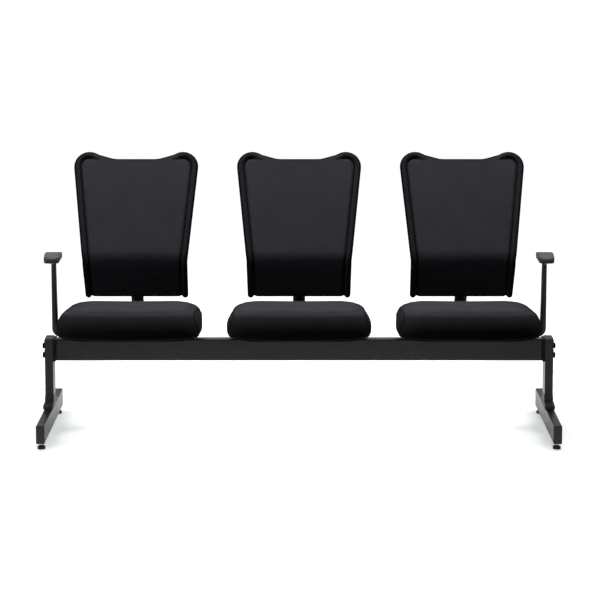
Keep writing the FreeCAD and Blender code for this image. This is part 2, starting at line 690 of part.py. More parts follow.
def glide(name, at_x, at_y):
    """Levelling glide: disc, cone, shoulder and stem."""
    disc = rod(f"glide_disc_{name}", "glide_radius", "glide_disc", (at_x, at_y, "0"))
    cone = document.addObject("Part::Cone", f"glide_cone_{name}")
    bind(cone, Radius1="glide_radius", Radius2="glide_shoulder_radius", Height="glide_cone")
    bind(cone, at_x=at_x, at_y=at_y, at_z="glide_disc")
    shoulder = rod(f"glide_shoulder_{name}", "glide_shoulder_radius", "glide_shoulder_top",
                   (at_x, at_y, "0"))
    stem = rod(f"glide_stem_{name}", "glide_stem_radius", "glide_stem_top", (at_x, at_y, "0"))
    return joined(f"glide_shape_{name}", [disc, cone, shoulder, stem])


def bracket(seat, index):
    """Welded bracket: base on the beam, two webs and a top plate."""
    at_x = f"{index} * seat_pitch"
    base = slab(f"bracket_base_{seat}",
                ("bracket_base_length", "beam_depth", "bracket_base_thickness"),
                (at_x, "0"), "beam_top")
    top = slab(f"bracket_top_{seat}",
               ("bracket_top_length", "bracket_top_depth", "bracket_plate"),
               (at_x, "-bracket_shift"), "bracket_plate_underside")
    webs = []
    for side, sign in SIDES:
        centre = (f"{at_x} + {sign} * bracket_web_spacing / 2", "-bracket_shift / 2")
        lengths = ("bracket_plate", "bracket_web_depth", "bracket_rise - bracket_plate")
        webs.append(slab(f"bracket_web_{seat}_{side}", lengths, centre, "bracket_base_top"))
    holes = []
    for number, (across, row) in enumerate(((-1, -1), (-1, 1), (1, -1), (1, 1))):
        start = (f"{at_x} + {across} * bracket_bolt_spread / 2",
                 f"{row} * bracket_bolt_rows / 2", "beam_top - 1")
        holes.append(rod(f"bracket_base_hole_{seat}_{number}", "hole_radius",
                         "bracket_base_thickness + 2", start))
    for number, (x, y, _) in enumerate(pan_screw_places()):
        start = (f"{at_x} + {x}", y, "bracket_plate_underside - 1")
        holes.append(rod(f"bracket_top_hole_{seat}_{number}", "hole_radius",
                         "bracket_plate + 2", start))
    blank = joined(f"bracket_blank_{seat}", [base, top] + webs)
    node(f"bracket_{seat}", cut(f"bracket_drilled_{seat}", blank, holes))


def pan_screw_places():
    """X and Y from the seat's centre, and the height of the head's seat, of the pan's screws."""
    for across in (-1, 1):
        for row in (-1, 1):
            y = f"{row} * pan_screw_rows / 2 - bracket_shift"
            yield f"{across} * pan_screw_spread / 2", y, "bracket_plate_underside"
    for y in ("-bar_screw_front", "bar_screw_rear"):
        yield "0", y, "bar_underside"


def hex_screw(name, at_x, at_y, seat_height, length):
    """Hexagon screw whose head hangs below a height and whose shank goes up."""
    start = (at_x, at_y, seat_height)
    head = hexagon(f"{name}_head", "screw_flats", "screw_head", start, Z_AXIS * -1)
    shank = rod(f"{name}_shank", "screw_radius", length, start)
    return joined(name, [head, shank])


def seat_fasteners():
    """Bolts of the brackets and screws of the pans."""
    bolts = []
    for number, (at_x, at_y) in enumerate(bracket_bolt_places()):
        start = (at_x, at_y, "bracket_base_top")
        head = hexagon(f"bracket_bolt_head_{number}", "screw_flats", "screw_head", start)
        length = "bracket_base_thickness + beam_insert_depth"
        shank = rod(f"bracket_bolt_shank_{number}", "screw_radius", length, start, Z_AXIS * -1)
        bolts.append(joined(f"bracket_bolt_{number}", [head, shank]))
    node("bracket_bolts", group("bracket_bolt_set", bolts))
    screws = []
    for seat, index in SEATS:
        for number, (x, y, seat_height) in enumerate(pan_screw_places()):
            at_x = f"{index} * seat_pitch + {x}"
            screws.append(hex_screw(f"seat_screw_{seat}_{number}", at_x, y, seat_height,
                                    f"screw_end - {seat_height}"))
    node("seat_screws", group("seat_screw_set", screws))


def pan(seat, index):
    """Plywood pan under a cushion."""
    at_x = f"{index} * seat_pitch"
    plate = padded_body(f"pan_plate_{seat}", "XY_Plane", "pan_width", "pan_depth",
                        "pan_thickness", "pan_corner", Z_AXIS)
    bind(plate, at_x=at_x, at_y="-pan_shift", at_z="pan_underside + pan_thickness / 2")
    places = [(f"{at_x} + {x}", y) for x, y, _ in pan_screw_places()]
    if index:
        places += [(f"{at_x} + {index} * {name}", "-arm_forward")
                   for name in ("arm_bolt_outer", "arm_bolt_inner")]
    holes = [rod(f"pan_hole_{seat}_{number}", "thread_radius", "pan_thickness + 2",
                 (x, y, "pan_underside - 1"))
             for number, (x, y) in enumerate(places)]
    node(f"pan_{seat}", cut(f"pan_drilled_{seat}", plate, holes))


def cushion_outline(share, nose, height, tilt):
    """Plan outline of the cushion, drawn in by a share and at the front, on a sloping plane."""
    rear = size("cushion_rear")
    front = -size("cushion_front")
    half = size("cushion_half")
    middle = (rear + front) / 2
    bow = half * 0.0272
    right = (
        (size("cushion_rear_half"), rear, half * 0.3424),
        (size("cushion_waist_half"), rear * 0.28, half * 1.634),
        (half, front * 0.38, half * 1.634),
        (half - bow, front + 4 * bow, half * 0.35),
    )
    corners = list(right) + [(0, front - bow, half * 3.5)]
    corners += [(-x, y, radius) for x, y, radius in right[::-1]]
    points = []
    for x, y, _ in corners:
        run = (y - middle) * share
        run += nose * max(0, (middle - y) / (middle - front))
        points.append(Vector(x * share, middle + run, height - run * math.tan(tilt)))
    return rounded_wire(points, [radius * share for _, _, radius in corners])


def cushion_side_levels():
    """Inset, draw at the front and height of each outline of the cushion's side, upwards."""
    waist = size("cushion_waist_height")
    edge = size("cushion_edge")
    shoulder = size("cushion_height") - size("cushion_crown") - waist
    for degrees in (-60, -40, -20):
        angle = math.radians(degrees)
        drawn = (1 - math.cos(angle)) / (1 - math.cos(math.radians(60)))
        rise = waist * (1 + math.sin(angle) / math.sin(math.radians(60)))
        yield size("cushion_tuck") * drawn, size("cushion_nose") * drawn, rise
    for degrees in (0, 18, 36, 54, 72):
        angle = math.radians(degrees)
        yield edge * (1 - math.cos(angle)), 0, waist + shoulder * math.sin(angle)


def cushion_crown_levels(rim_inset, rim_height):
    """Inset, draw and height of the outlines from the rolled edge up to the flat crown."""
    reach = size("cushion_half") * 0.6 - rim_inset
    rise = size("cushion_height") - rim_height
    for share in (0, 0.3, 0.6, 1):
        yield rim_inset + share * reach, 0, rim_height + rise * (1 - (1 - share) ** 2)


def cushion_shape():
    """Crowned cushion: tucked lower edge, widest line, rolled upper edge, pocket for the pan."""
    base = size("pan_top") - size("cushion_skirt")
    slope = math.radians(size("cushion_slope"))

    def outlines(levels):
        for inset, nose, rise in levels:
            tilt = slope * rise / size("cushion_height")
            share = 1 - inset / size("cushion_half")
            yield cushion_outline(share, nose, base + rise, tilt)

    side_levels = list(cushion_side_levels())
    crown_levels = cushion_crown_levels(side_levels[-1][0], side_levels[-1][2])
    side = Part.makeLoft(list(outlines(side_levels)), True, False)
    crown = Part.makeLoft(list(outlines(crown_levels)), True, True)
    gap = 2 * size("cushion_pocket_gap")
    pocket = rounded_rectangle(size("pan_width") + gap, size("pan_depth") + gap,
                               size("pan_corner") + gap / 2, base - 1)
    recess = Part.Face(pocket).extrude(Vector(0, 0, size("cushion_skirt") + 1))
    return side.fuse(crown).cut(recess.translate(Vector(0, -size("pan_shift"), 0)))


def back_point(x, along):
    """Point of the back's middle surface; along is measured from the bend, up or down."""
    if along >= 0:
        lean = math.radians(size("back_recline"))
        y = size("lumbar_setback") + along * math.sin(lean)
        return Vector(x, y, size("lumbar_height") + along * math.cos(lean))
    lean = math.radians(size("back_undercut"))
    y = size("lumbar_setback") - along * math.sin(lean)
    return Vector(x, y, size("lumbar_height") + along * math.cos(lean))


def side_line(extra_low, extra_tip):
    """Centre line of the right side tube, made longer at its ends by two lengths."""
    low = size("back_low") - extra_low
    hem = back_point(size("back_hem_half"), low)
    bend = back_point(size("back_lumbar_half"), 0)
    corner = back_point(size("back_corner_half"), size("back_corner_length"))
    tip = back_point(size("back_tip_half"), size("back_tip_length"))
    end = tip + (tip - corner).normalize() * extra_tip
    radii = [0, size("lumbar_radius"), size("back_ear_radius"), 0]
    return rounded_wire([hem, bend, corner, end], radii, closed=False)


def back_profile(low):
    """Side view of the back's middle surface as (y, z) points, from rear bottom to top."""
    points = [back_point(0, low), back_point(0, 0), back_point(0, size("back_corner_length"))]
    return [(point.y, point.z) for point in points]


def front_outline(top_drop, extra_low):
    """Front view of the cloth between the side tubes' centre lines, as a prism along Y."""
    ear = size("back_ear_radius")
    places = (
        (size("back_hem_half"), size("back_low") - extra_low, 0),
        (size("back_lumbar_half"), 0, 0),
        (size("back_corner_half"), size("back_corner_length"), ear * 0.955),
        (size("back_tip_half"), size("back_tip_length"), 0),
        (size("back_shoulder_half"), size("back_shoulder_length") - top_drop, ear * 0.27),
        (size("back_sag_half"), size("back_sag_length") - top_drop, ear * 2.45),
    )
    right = [(back_point(x, along), radius) for x, along, radius in places]
    points = [Vector(point.x, 0, point.z) for point, _ in right]
    points += [Vector(-point.x, 0, point.z) for point, _ in right[::-1]]
    radii = [radius for _, radius in right]
    return prism(points, radii + radii[::-1], Vector(0, 2 * size("foot_rear"), 0))


def mirrored(shape):
    """The shape on the other side of the seat's middle plane."""
    return shape.mirror(Vector(), X_AXIS)


def cloth_body(half, radius, top_drop, extra_low, extra_tip):
    """Flat cloth of a half thickness between two round edges."""
    width = 2 * size("back_corner_half")
    low = size("back_low") - extra_low
    sheet_band = strip(back_profile(low)[::-1], size("lumbar_radius"), half, width)
    panel = sheet_band.common(front_outline(top_drop, extra_low + radius))
    line = side_line(extra_low, extra_tip)
    edge = pipe(line, radius)
    tip = line.OrderedVertexes[-1].Point
    edge = edge.fuse(Part.makeSphere(radius, tip))
    return panel.fuse([edge, mirrored(edge)])


def sleeve_shape():
    """Fabric sleeve: two layers between the side tubes, round over them, open at the hem."""
    fabric = size("sleeve_fabric")
    outside = cloth_body(size("panel_half"), size("sleeve_radius"), 0, 0, 2 * fabric)
    inside = cloth_body(size("cavity_half"), size("cavity_radius"), size("panel_fabric"),
                        2 * size("sleeve_ease"), 1.6 * fabric)
    sleeve = outside.cut(inside)
    for along in back_bolt_places():
        hole = Part.makeCylinder(size("hole_radius"), size("sleeve_radius"),
                                 back_point(0, along), rear_normal())
        sleeve = sleeve.cut(hole)
    return sleeve


def rear_normal():
    """Direction square to the lower back, to the rear."""
    lean = math.radians(size("back_undercut"))
    return Vector(0, math.cos(lean), math.sin(lean))


def back_bolt_places():
    """Places of the back's bolts, measured down from the bend."""
    low = size("back_low") + size("back_bolt_low")
    return low, low + size("back_bolt_step")


def bar_shape():
    """Flat bar from below the seat, round behind it and up the lower back."""
    half = size("bar_thickness") / 2
    height = size("bar_underside") + half
    stand_off = size("panel_half") + size("fit_gap") + half
    top = back_point(0, size("back_low") + size("bar_reach")) + rear_normal() * stand_off
    lean = math.radians(size("back_undercut"))
    corner_y = top.y + (top.z - height) * math.tan(lean)
    points = [(-size("bar_front"), height), (corner_y, height), (top.y, top.z)]
    bar = strip(points, size("bar_bend"), half, size("bar_width"))
    for y in (-size("bar_screw_front"), size("bar_screw_rear")):
        start = Vector(0, y, height - 2 * half)
        bar = bar.cut(Part.makeCylinder(size("hole_radius"), 4 * half, start))
    for along in back_bolt_places():
        hole = Part.makeCylinder(size("hole_radius"), 4 * half, back_point(0, along),
                                 rear_normal())
        bar = bar.cut(hole.translate(rear_normal() * (stand_off - 2 * half)))
    return bar


def plate_offset():
    """Middle of the lumbar plate, behind the back's middle surface."""
    return size("cavity_half") - size("fit_gap") - size("lumbar_plate_thickness") / 2


def lumbar_plate_shape():
    """Steel plate between the side tubes inside the sleeve, tapped for the back's bolts."""
    low = size("back_low") + size("lumbar_plate_low")
    lower_share = -low / size("back_lower_length")
    tube_half = size("back_lumbar_half") + lower_share * (
        size("back_hem_half") - size("back_lumbar_half"))
    half = tube_half - size("back_tube_radius") - size("fit_gap")
    thickness = size("lumbar_plate_thickness")
    plate = Part.makeBox(2 * half, thickness, size("lumbar_plate_height"),
                         Vector(-half, plate_offset() - thickness / 2, 0))
    plate.rotate(Vector(), X_AXIS, size("back_undercut"))
    plate.translate(back_point(0, low))
    for along in back_bolt_places():
        plate = plate.cut(Part.makeCylinder(size("thread_radius"), 2 * size("panel_half"),
                                            back_point(0, along), rear_normal()))
    return plate


def back_bolt_shape(along):
    """Button-head bolt from the back bar's rear face into the lumbar plate."""
    normal = rear_normal()
    face = size("panel_half") + size("fit_gap") + size("bar_thickness")
    start = plate_offset() - size("lumbar_plate_thickness") / 2
    place = back_point(0, along)
    shank = Part.makeCylinder(size("screw_radius"), face - start, place + normal * start, normal)
    head = Part.makeCylinder(size("back_bolt_head_radius"), size("back_bolt_head"),
                             place + normal * face, normal)
    rim = [edge for edge in head.Edges if edge.CenterOfMass.distanceToPoint(place) > face + 1
           and isinstance(edge.Curve, Part.Circle)]
    head = head.makeFillet(size("back_bolt_head") * 0.6, rim)
    return shank.fuse(head)


def crossbar_shape():
    """Round bar between the side tubes, high in the back."""
    share = size("crossbar_length_up") / size("back_corner_length")
    tube_half = size("back_lumbar_half") + share * (
        size("back_corner_half") - size("back_lumbar_half"))
    half = tube_half - size("back_tube_radius") - size("fit_gap")
    start = back_point(-half, size("crossbar_length_up"))
    return Part.makeCylinder(size("crossbar_radius"), 2 * half, start, X_AXIS)


def back_tube_shape():
    """Right side tube, hollow, from below the hem up round the ear."""
    line = side_line(size("back_tube_end"), 0)
    bore = pipe(line, size("back_tube_radius") - size("back_tube_wall"))
    return pipe(line, size("back_tube_radius")).cut(bore)


def tube_plug_shapes():
    """Plugs in the right side tube's two ends; the lower one shows a rounded cap."""
    line = side_line(size("back_tube_end"), 0)
    edges = line.OrderedEdges
    neck = size("back_tube_radius") - size("back_tube_wall") - size("plug_clearance")
    plugs = []
    low = line.OrderedVertexes[0].Point
    tip = line.OrderedVertexes[-1].Point
    down = edges[0].tangentAt(edges[0].FirstParameter) * -1
    out = edges[-1].tangentAt(edges[-1].LastParameter)
    visible = size("tube_plug_length")
    for place, direction, length in ((low, down, visible), (tip, out, 0.4 * visible)):
        rounding = 0.8 * length
        cap = Part.makeCylinder(size("back_tube_radius"), length, place, direction)
        rim = [edge for edge in cap.Edges if isinstance(edge.Curve, Part.Circle)
               and edge.CenterOfMass.distanceToPoint(place) > length / 2]
        cap = cap.makeFillet(rounding, rim)
        stub = Part.makeCylinder(neck, size("plug_depth"), place, direction * -1)
        plugs.append(cap.fuse(stub))
    return plugs


def back(seat, index):
    """Everything of one back."""
    at_x = f"{index} * seat_pitch"
    tube = back_tube_shape()
    plugs = tube_plug_shapes()
    plugs += [mirrored(shape) for shape in plugs]
    node(f"j_bar_{seat}", feature(f"bar_{seat}", bar_shape(), at_x))
    node(f"back_tube_{seat}_l", feature(f"back_tube_a_{seat}", mirrored(tube), at_x))
    node(f"back_tube_{seat}_r", feature(f"back_tube_b_{seat}", tube, at_x))
    node(f"lumbar_plate_{seat}", feature(f"plate_{seat}", lumbar_plate_shape(), at_x))
    node(f"crossbar_{seat}", feature(f"bar_between_{seat}", crossbar_shape(), at_x))
    node(f"tube_plugs_{seat}", feature(f"plugs_{seat}", Part.makeCompound(plugs), at_x))
    node(f"sleeve_{seat}", feature(f"sleeve_shape_{seat}", sleeve_shape(), at_x))


def back_fasteners():
    """Bolts of the three backs."""
    bolts = []
    for seat, index in SEATS:
        for number, along in enumerate(back_bolt_places()):
            bolts.append(feature(f"back_bolt_{seat}_{number}", back_bolt_shape(along),
                                 f"{index} * seat_pitch"))
    node("back_bolts", group("back_bolt_set", bolts))


def pad_placement(sign):
    """Place of an arm pad's underside: tilted up and turned in at the front."""
    turn = FreeCAD.Rotation(Z_AXIS, -sign * size("pad_toe")).multiply(
        FreeCAD.Rotation(X_AXIS, -size("pad_tilt")))
    place = Vector(sign * size("pad_offset"), -size("arm_forward"), size("pad_height"))
    return FreeCAD.Placement(place, turn)


def pad_screw_offsets():
    """Y of an arm pad's screws from the pad's middle."""
    half = size("pad_screw_spread") / 2
    return -half, half


def arm_pad_shape():
    """Arm pad, level and on its own axes: arched top, drooping nose, wider at the rear."""
    half = size("pad_length") / 2
    thick = size("pad_thickness")
    rear = size("pad_rear_width") / 2
    front = size("pad_front_width") / 2
    side = [Vector(-size("pad_rear_width"), y, z) for y, z in (
        (half, 0), (half, thick * 0.76), (0, thick * 1.06), (-half, thick * 0.78),
        (-half, -thick * 0.074), (-size("arm_head_length") / 2 - thick * 0.22, 0))]
    radii = [thick * share for share in (0.148, 0.444, 33.3, 0.63, 0.185, 0)]
    body = prism(side, radii, Vector(2 * size("pad_rear_width"), 0, 0))
    plan = [Vector(x, y, -thick / 2) for x, y in (
        (-rear, half), (rear, half), (front, -half), (-front, -half))]
    pad = body.common(prism(plan, [rear * 0.787] * 2 + [front * 0.74] * 2,
                            Vector(0, 0, 2 * thick)))
    for offset in pad_screw_offsets():
        hole = Part.makeCylinder(size("pad_screw_radius") + size("thread_clearance"),
                                 size("pad_screw_depth") + 1, Vector(0, offset, 0))
        pad = pad.cut(hole)
    return pad


def arm_shape():
    """Right arm: post, bend and foot in one, with a plate at its head."""
    outer = size("arm_outer")
    foot = size("arm_foot_underside")
    bend = size("arm_bend")
    thick = size("arm_foot_thickness")
    top = size("pad_height") - size("arm_head_thickness") / 2
    depth = size("arm_depth")
    outline = (
        (size("arm_foot_end"), foot, 0),
        (outer, foot, bend),
        (outer, top, 0),
        (outer - size("arm_width_top"), top, 0),
        (outer - size("arm_width_low"), foot + thick, bend - thick / 2),
        (size("arm_foot_end"), foot + thick, 0),
    )
    front = -size("arm_forward") - depth / 2
    points = [Vector(x, front, z) for x, z, _ in outline]
    arm = prism(points, [radius for _, _, radius in outline], Vector(0, depth, 0))
    long_edges = []
    for edge in arm.Edges:
        box_ = edge.BoundBox
        on_face = box_.YLength < 0.01
        at_end = box_.XMax < size("arm_foot_end") + 0.01 or box_.ZMin > top - 0.01
        if on_face and not at_end and box_.ZMax > foot + thick + 1:
            long_edges.append(edge)
    arm = arm.makeFillet(size("arm_edge"), long_edges)
    head = Part.makeBox(size("arm_head_width"), size("arm_head_length"),
                        size("arm_head_thickness"),
                        Vector(-size("arm_head_width") / 2, -size("arm_head_length") / 2,
                               -size("arm_head_thickness")))
    corners = [edge for edge in head.Edges if edge.BoundBox.ZLength > 1]
    head = head.makeFillet(size("arm_head_width") / 3, corners)
    for offset in pad_screw_offsets():
        head = head.cut(Part.makeCylinder(size("pad_screw_radius") + size("hole_clearance"),
                                          3 * size("arm_head_thickness"),
                                          Vector(0, offset, -2 * size("arm_head_thickness"))))
    head.Placement = pad_placement(1)
    arm = arm.fuse(head)
    for name in ("arm_bolt_outer", "arm_bolt_inner"):
        start = Vector(size(name), -size("arm_forward"), foot - 1)
        arm = arm.cut(Part.makeCylinder(size("hole_radius"), thick + 2, start))
    return arm


def pad_screw_shape(offset):
    """Hexagon screw from below the arm's head into the pad, on the pad's own axes."""
    seat_height = -size("arm_head_thickness")
    shank = Part.makeCylinder(size("pad_screw_radius"),
                              size("arm_head_thickness") + size("pad_screw_depth"),
                              Vector(0, offset, seat_height))
    circle = size("pad_screw_flats") / math.sqrt(3)
    corners = [Vector(circle * math.cos(step * math.pi / 3),
                      offset + circle * math.sin(step * math.pi / 3), seat_height)
               for step in range(6)]
    head = prism(corners, [0] * 6, Vector(0, 0, -size("pad_screw_head")))
    return shank.fuse(head)


def arms():
    """Both arms with their pads and fasteners."""
    bolts = []
    screws = []
    for side, sign in SIDES:
        at_x = f"{sign} * seat_pitch"
        arm = arm_shape() if sign > 0 else mirrored(arm_shape())
        node(f"arm_{side}", feature(f"arm_shape_{side}", arm, at_x))
        pad_x = f"{sign} * (seat_pitch + pad_offset)"
        place = pad_placement(sign)
        node(f"arm_pad_{side}", feature(f"arm_pad_shape_{side}", arm_pad_shape(), pad_x, place))
        screws += [feature(f"pad_screw_{side}_{number}", pad_screw_shape(offset), pad_x, place)
                   for number, offset in enumerate(pad_screw_offsets())]
        for name in ("arm_bolt_outer", "arm_bolt_inner"):
            bolts.append(hex_screw(f"{name}_{side}", f"{at_x} + {sign} * {name}",
                                   "-arm_forward", "arm_foot_underside",
                                   "screw_end - arm_foot_underside"))
    node("arm_bolts", group("arm_bolt_set", bolts))
    node("arm_pad_screws", group("pad_screw_set", screws))


def centred(shape):
    """The shape moved from below the beam's middle to below the middle of the whole plan."""
    moved = shape.copy()
    moved.translate(Vector(0, size("plan_middle"), 0))
    return moved


def check_and_write():
    """Stops on any failed object, then writes one file for each node."""
    document.recompute()
    for item in document.Objects:
        if "Invalid" in item.State or "Error" in item.State:
            raise RuntimeError(f"{item.Name} failed: {item.State}")
    for item in nodes:
        if item.Shape.isNull() or not item.Shape.isValid() or not item.Shape.Solids:
            raise RuntimeError(f"{item.Label} has no valid solid")
    os.makedirs("parts", exist_ok=True)
    for item in nodes:
        centred(item.Shape).exportStep(f"parts/{item.Label}.step")
    print(f"{len(nodes)} nodes written")


beam()
for side_name, side_sign in SIDES:
    leg(side_name, side_sign)
leg_details()
for seat_name, seat_index in SEATS:
    bracket(seat_name, seat_index)
    pan(seat_name, seat_index)
    node(f"cushion_{seat_name}",
         feature(f"cushion_shape_{seat_name}", cushion_shape(), f"{seat_index} * seat_pitch"))
    back(seat_name, seat_index)
seat_fasteners()
back_fasteners()
arms()
check_and_write()
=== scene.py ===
import logging
import math
from collections.abc import Iterable, Sequence
from dataclasses import dataclass, field
from enum import Enum
from typing import NamedTuple

import bmesh
import bpy
from bmesh.types import BMEdge, BMesh, BMFace, BMVert
from bpy.types import Material, Node, NodeSocket, NodeTree, Object, Scene
from mathutils import Matrix, Vector
from mathutils.bvhtree import BVHTree


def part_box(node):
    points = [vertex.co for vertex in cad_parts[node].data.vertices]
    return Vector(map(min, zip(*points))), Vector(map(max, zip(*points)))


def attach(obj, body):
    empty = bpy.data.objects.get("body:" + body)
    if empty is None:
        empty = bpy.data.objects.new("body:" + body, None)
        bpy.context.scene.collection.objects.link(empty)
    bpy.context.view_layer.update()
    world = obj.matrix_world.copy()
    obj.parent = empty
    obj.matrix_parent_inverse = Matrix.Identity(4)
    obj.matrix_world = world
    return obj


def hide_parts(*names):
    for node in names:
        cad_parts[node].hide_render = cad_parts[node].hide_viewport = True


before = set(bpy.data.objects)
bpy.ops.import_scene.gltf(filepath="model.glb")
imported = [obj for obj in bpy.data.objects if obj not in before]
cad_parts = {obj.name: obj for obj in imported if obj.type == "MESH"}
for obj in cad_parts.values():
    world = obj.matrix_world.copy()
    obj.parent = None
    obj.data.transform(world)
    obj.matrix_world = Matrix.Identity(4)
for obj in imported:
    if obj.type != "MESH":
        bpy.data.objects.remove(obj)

# Beam seating: three upholstered seats with cloth backs on one steel beam between two legs.
# Metres. X runs along the beam, to the right as seen from the front, Y to the rear and Z up.

LOG = logging.getLogger("beam_seating")
MM = 0.001
ROOT_BODY = "seating"
SEAT_PITCH = 0.6
BEAM_Y = 18.3 * MM
SEATS = (("left", -1), ("middle", 0), ("right", 1))
SIDES = (("left", -1), ("right", 1))
X_AXIS = Vector((1, 0, 0))
Y_AXIS = Vector((0, 1, 0))
Z_AXIS = Vector((0, 0, 1))
Colour = tuple[float, float, float]
DUST: Colour = (0.16, 0.155, 0.15)
CLOTH_MAP = "cloth"
# Mask of seams and edge bindings, which on the backs also holds painted shade in the grooves beside
# the tubes.
SEAM_AND_SHADE_MASK = "seam"


class Slot(Enum):
    """Finishes of the record, one for each kind of surface."""

    FRAME = "frame_paint"
    MATT = "matt_paint"
    PLASTIC = "black_plastic"
    BOLTS = "black_bolts"
    PLATED = "plated_steel"
    GLIDE = "glide_plastic"
    ARM = "arm_paint"
    PAD = "pad_skin"
    WOOD = "pan_wood"
    SEAT = "seat_fabric"
    TUBE = "tube_steel"
    BACK = "back_fabric"


class Corner(NamedTuple):
    """One corner of a flat outline, with the radius that rounds it."""

    x: float
    y: float
    radius: float


# Shader nodes


class Graph:
    """Adds nodes to one node tree and joins them."""

    def __init__(self, tree: NodeTree) -> None:
        """Starts on an empty tree."""
        self.tree = tree
        self.tree.nodes.clear()

    def add(self, kind: str, inputs: dict | None = None, **settings: object) -> Node:
        """Adds one node.

        Args:
            kind: the node's type without its ShaderNode prefix.
            inputs: socket name or number to a value or to the socket that feeds it.
            **settings: the node's own properties.

        Returns:
            The new node.
        """
        prefix = "" if kind.startswith("NodeGroup") else "ShaderNode"
        node = self.tree.nodes.new(prefix + kind)
        for name, value in settings.items():
            setattr(node, name, value)
        for name, value in (inputs or {}).items():
            if isinstance(value, NodeSocket):
                self.tree.links.new(value, node.inputs[name])
            else:
                node.inputs[name].default_value = value
        return node

    def math(self, operation: str, *values: object, clamp: bool = False) -> NodeSocket:
        """One Math node over up to three values or sockets."""
        node = self.add("Math", dict(enumerate(values)), operation=operation, use_clamp=clamp)
        return node.outputs[0]

    def mix(self, factor: object, first: object, second: object) -> NodeSocket:
        """Mix of two colours by a factor."""
        node = self.add("Mix", {0: factor, 6: first, 7: second}, data_type="RGBA")
        return node.outputs[2]

    def span(self, value: object, low: float, high: float, start: float = 0.0, end: float = 1.0
             ) -> NodeSocket:
        """Maps a value from one range to another, held inside the second."""
        node = self.add("MapRange", {0: value, 1: low, 2: high, 3: start, 4: end})
        return node.outputs[0]

    def noise(self, place: NodeSocket, scale: object, detail: float, **more: float
              ) -> NodeSocket:
        """Value of a noise at a place."""
        inputs = {"Vector": place, "Scale": scale, "Detail": detail}
        inputs.update({name.title(): value for name, value in more.items()})
        return self.add("TexNoise", inputs).outputs["Fac"]

    def group(self, tree: NodeTree, *values: object) -> Sequence[NodeSocket]:
        """Outputs of a node group over its inputs in order."""
        return self.add("Group", dict(enumerate(values)), node_tree=tree).outputs

    def bump(self, height: NodeSocket, strength: float, distance: float,
             normal: NodeSocket | None = None) -> NodeSocket:
        """Normal of a surface with a height on it."""
        inputs = {"Strength": strength, "Distance": distance, "Height": height}
        if normal is not None:
            inputs["Normal"] = normal
        return self.add("Bump", inputs).outputs[0]

    def object_place(self) -> NodeSocket:
        """Place on the object, in metres."""
        return self.add("TexCoord").outputs["Object"]

    def part(self, vector: NodeSocket, axis: int) -> NodeSocket:
        """One part of a vector."""
        return self.add("SeparateXYZ", {0: vector}).outputs[axis]

    def facing_up(self) -> NodeSocket:
        """Upward part of the surface's normal."""
        return self.part(self.add("NewGeometry").outputs["Normal"], 2)

    def join(self, *sockets: tuple[NodeSocket, NodeSocket]) -> None:
        """Links pairs of an output and an input."""
        for output, entry in sockets:
            self.tree.links.new(output, entry)


def new_group(name: str, inputs: Sequence[tuple[str, str, float]], outputs: Sequence[str]
              ) -> tuple[Graph, Node, Node]:
    """Makes a shader node group with named sockets.

    Args:
        name: the group's name.
        inputs: name, socket kind (Float or Vector) and default value of each input.
        outputs: names of the outputs; one that starts with Normal is a vector.

    Returns:
        The graph inside the group, its input node and its output node.
    """
    tree = bpy.data.node_groups.new(name, "ShaderNodeTree")
    graph = Graph(tree)
    for socket, kind, value in inputs:
        made = tree.interface.new_socket(socket, in_out="INPUT", socket_type=f"NodeSocket{kind}")
        if kind == "Float":
            made.default_value = value
    for socket in outputs:
        kind = "Vector" if socket.startswith("Normal") else "Float"
        tree.interface.new_socket(socket, in_out="OUTPUT", socket_type=f"NodeSocket{kind}")
    return graph, tree.nodes.new("NodeGroupInput"), tree.nodes.new("NodeGroupOutput")


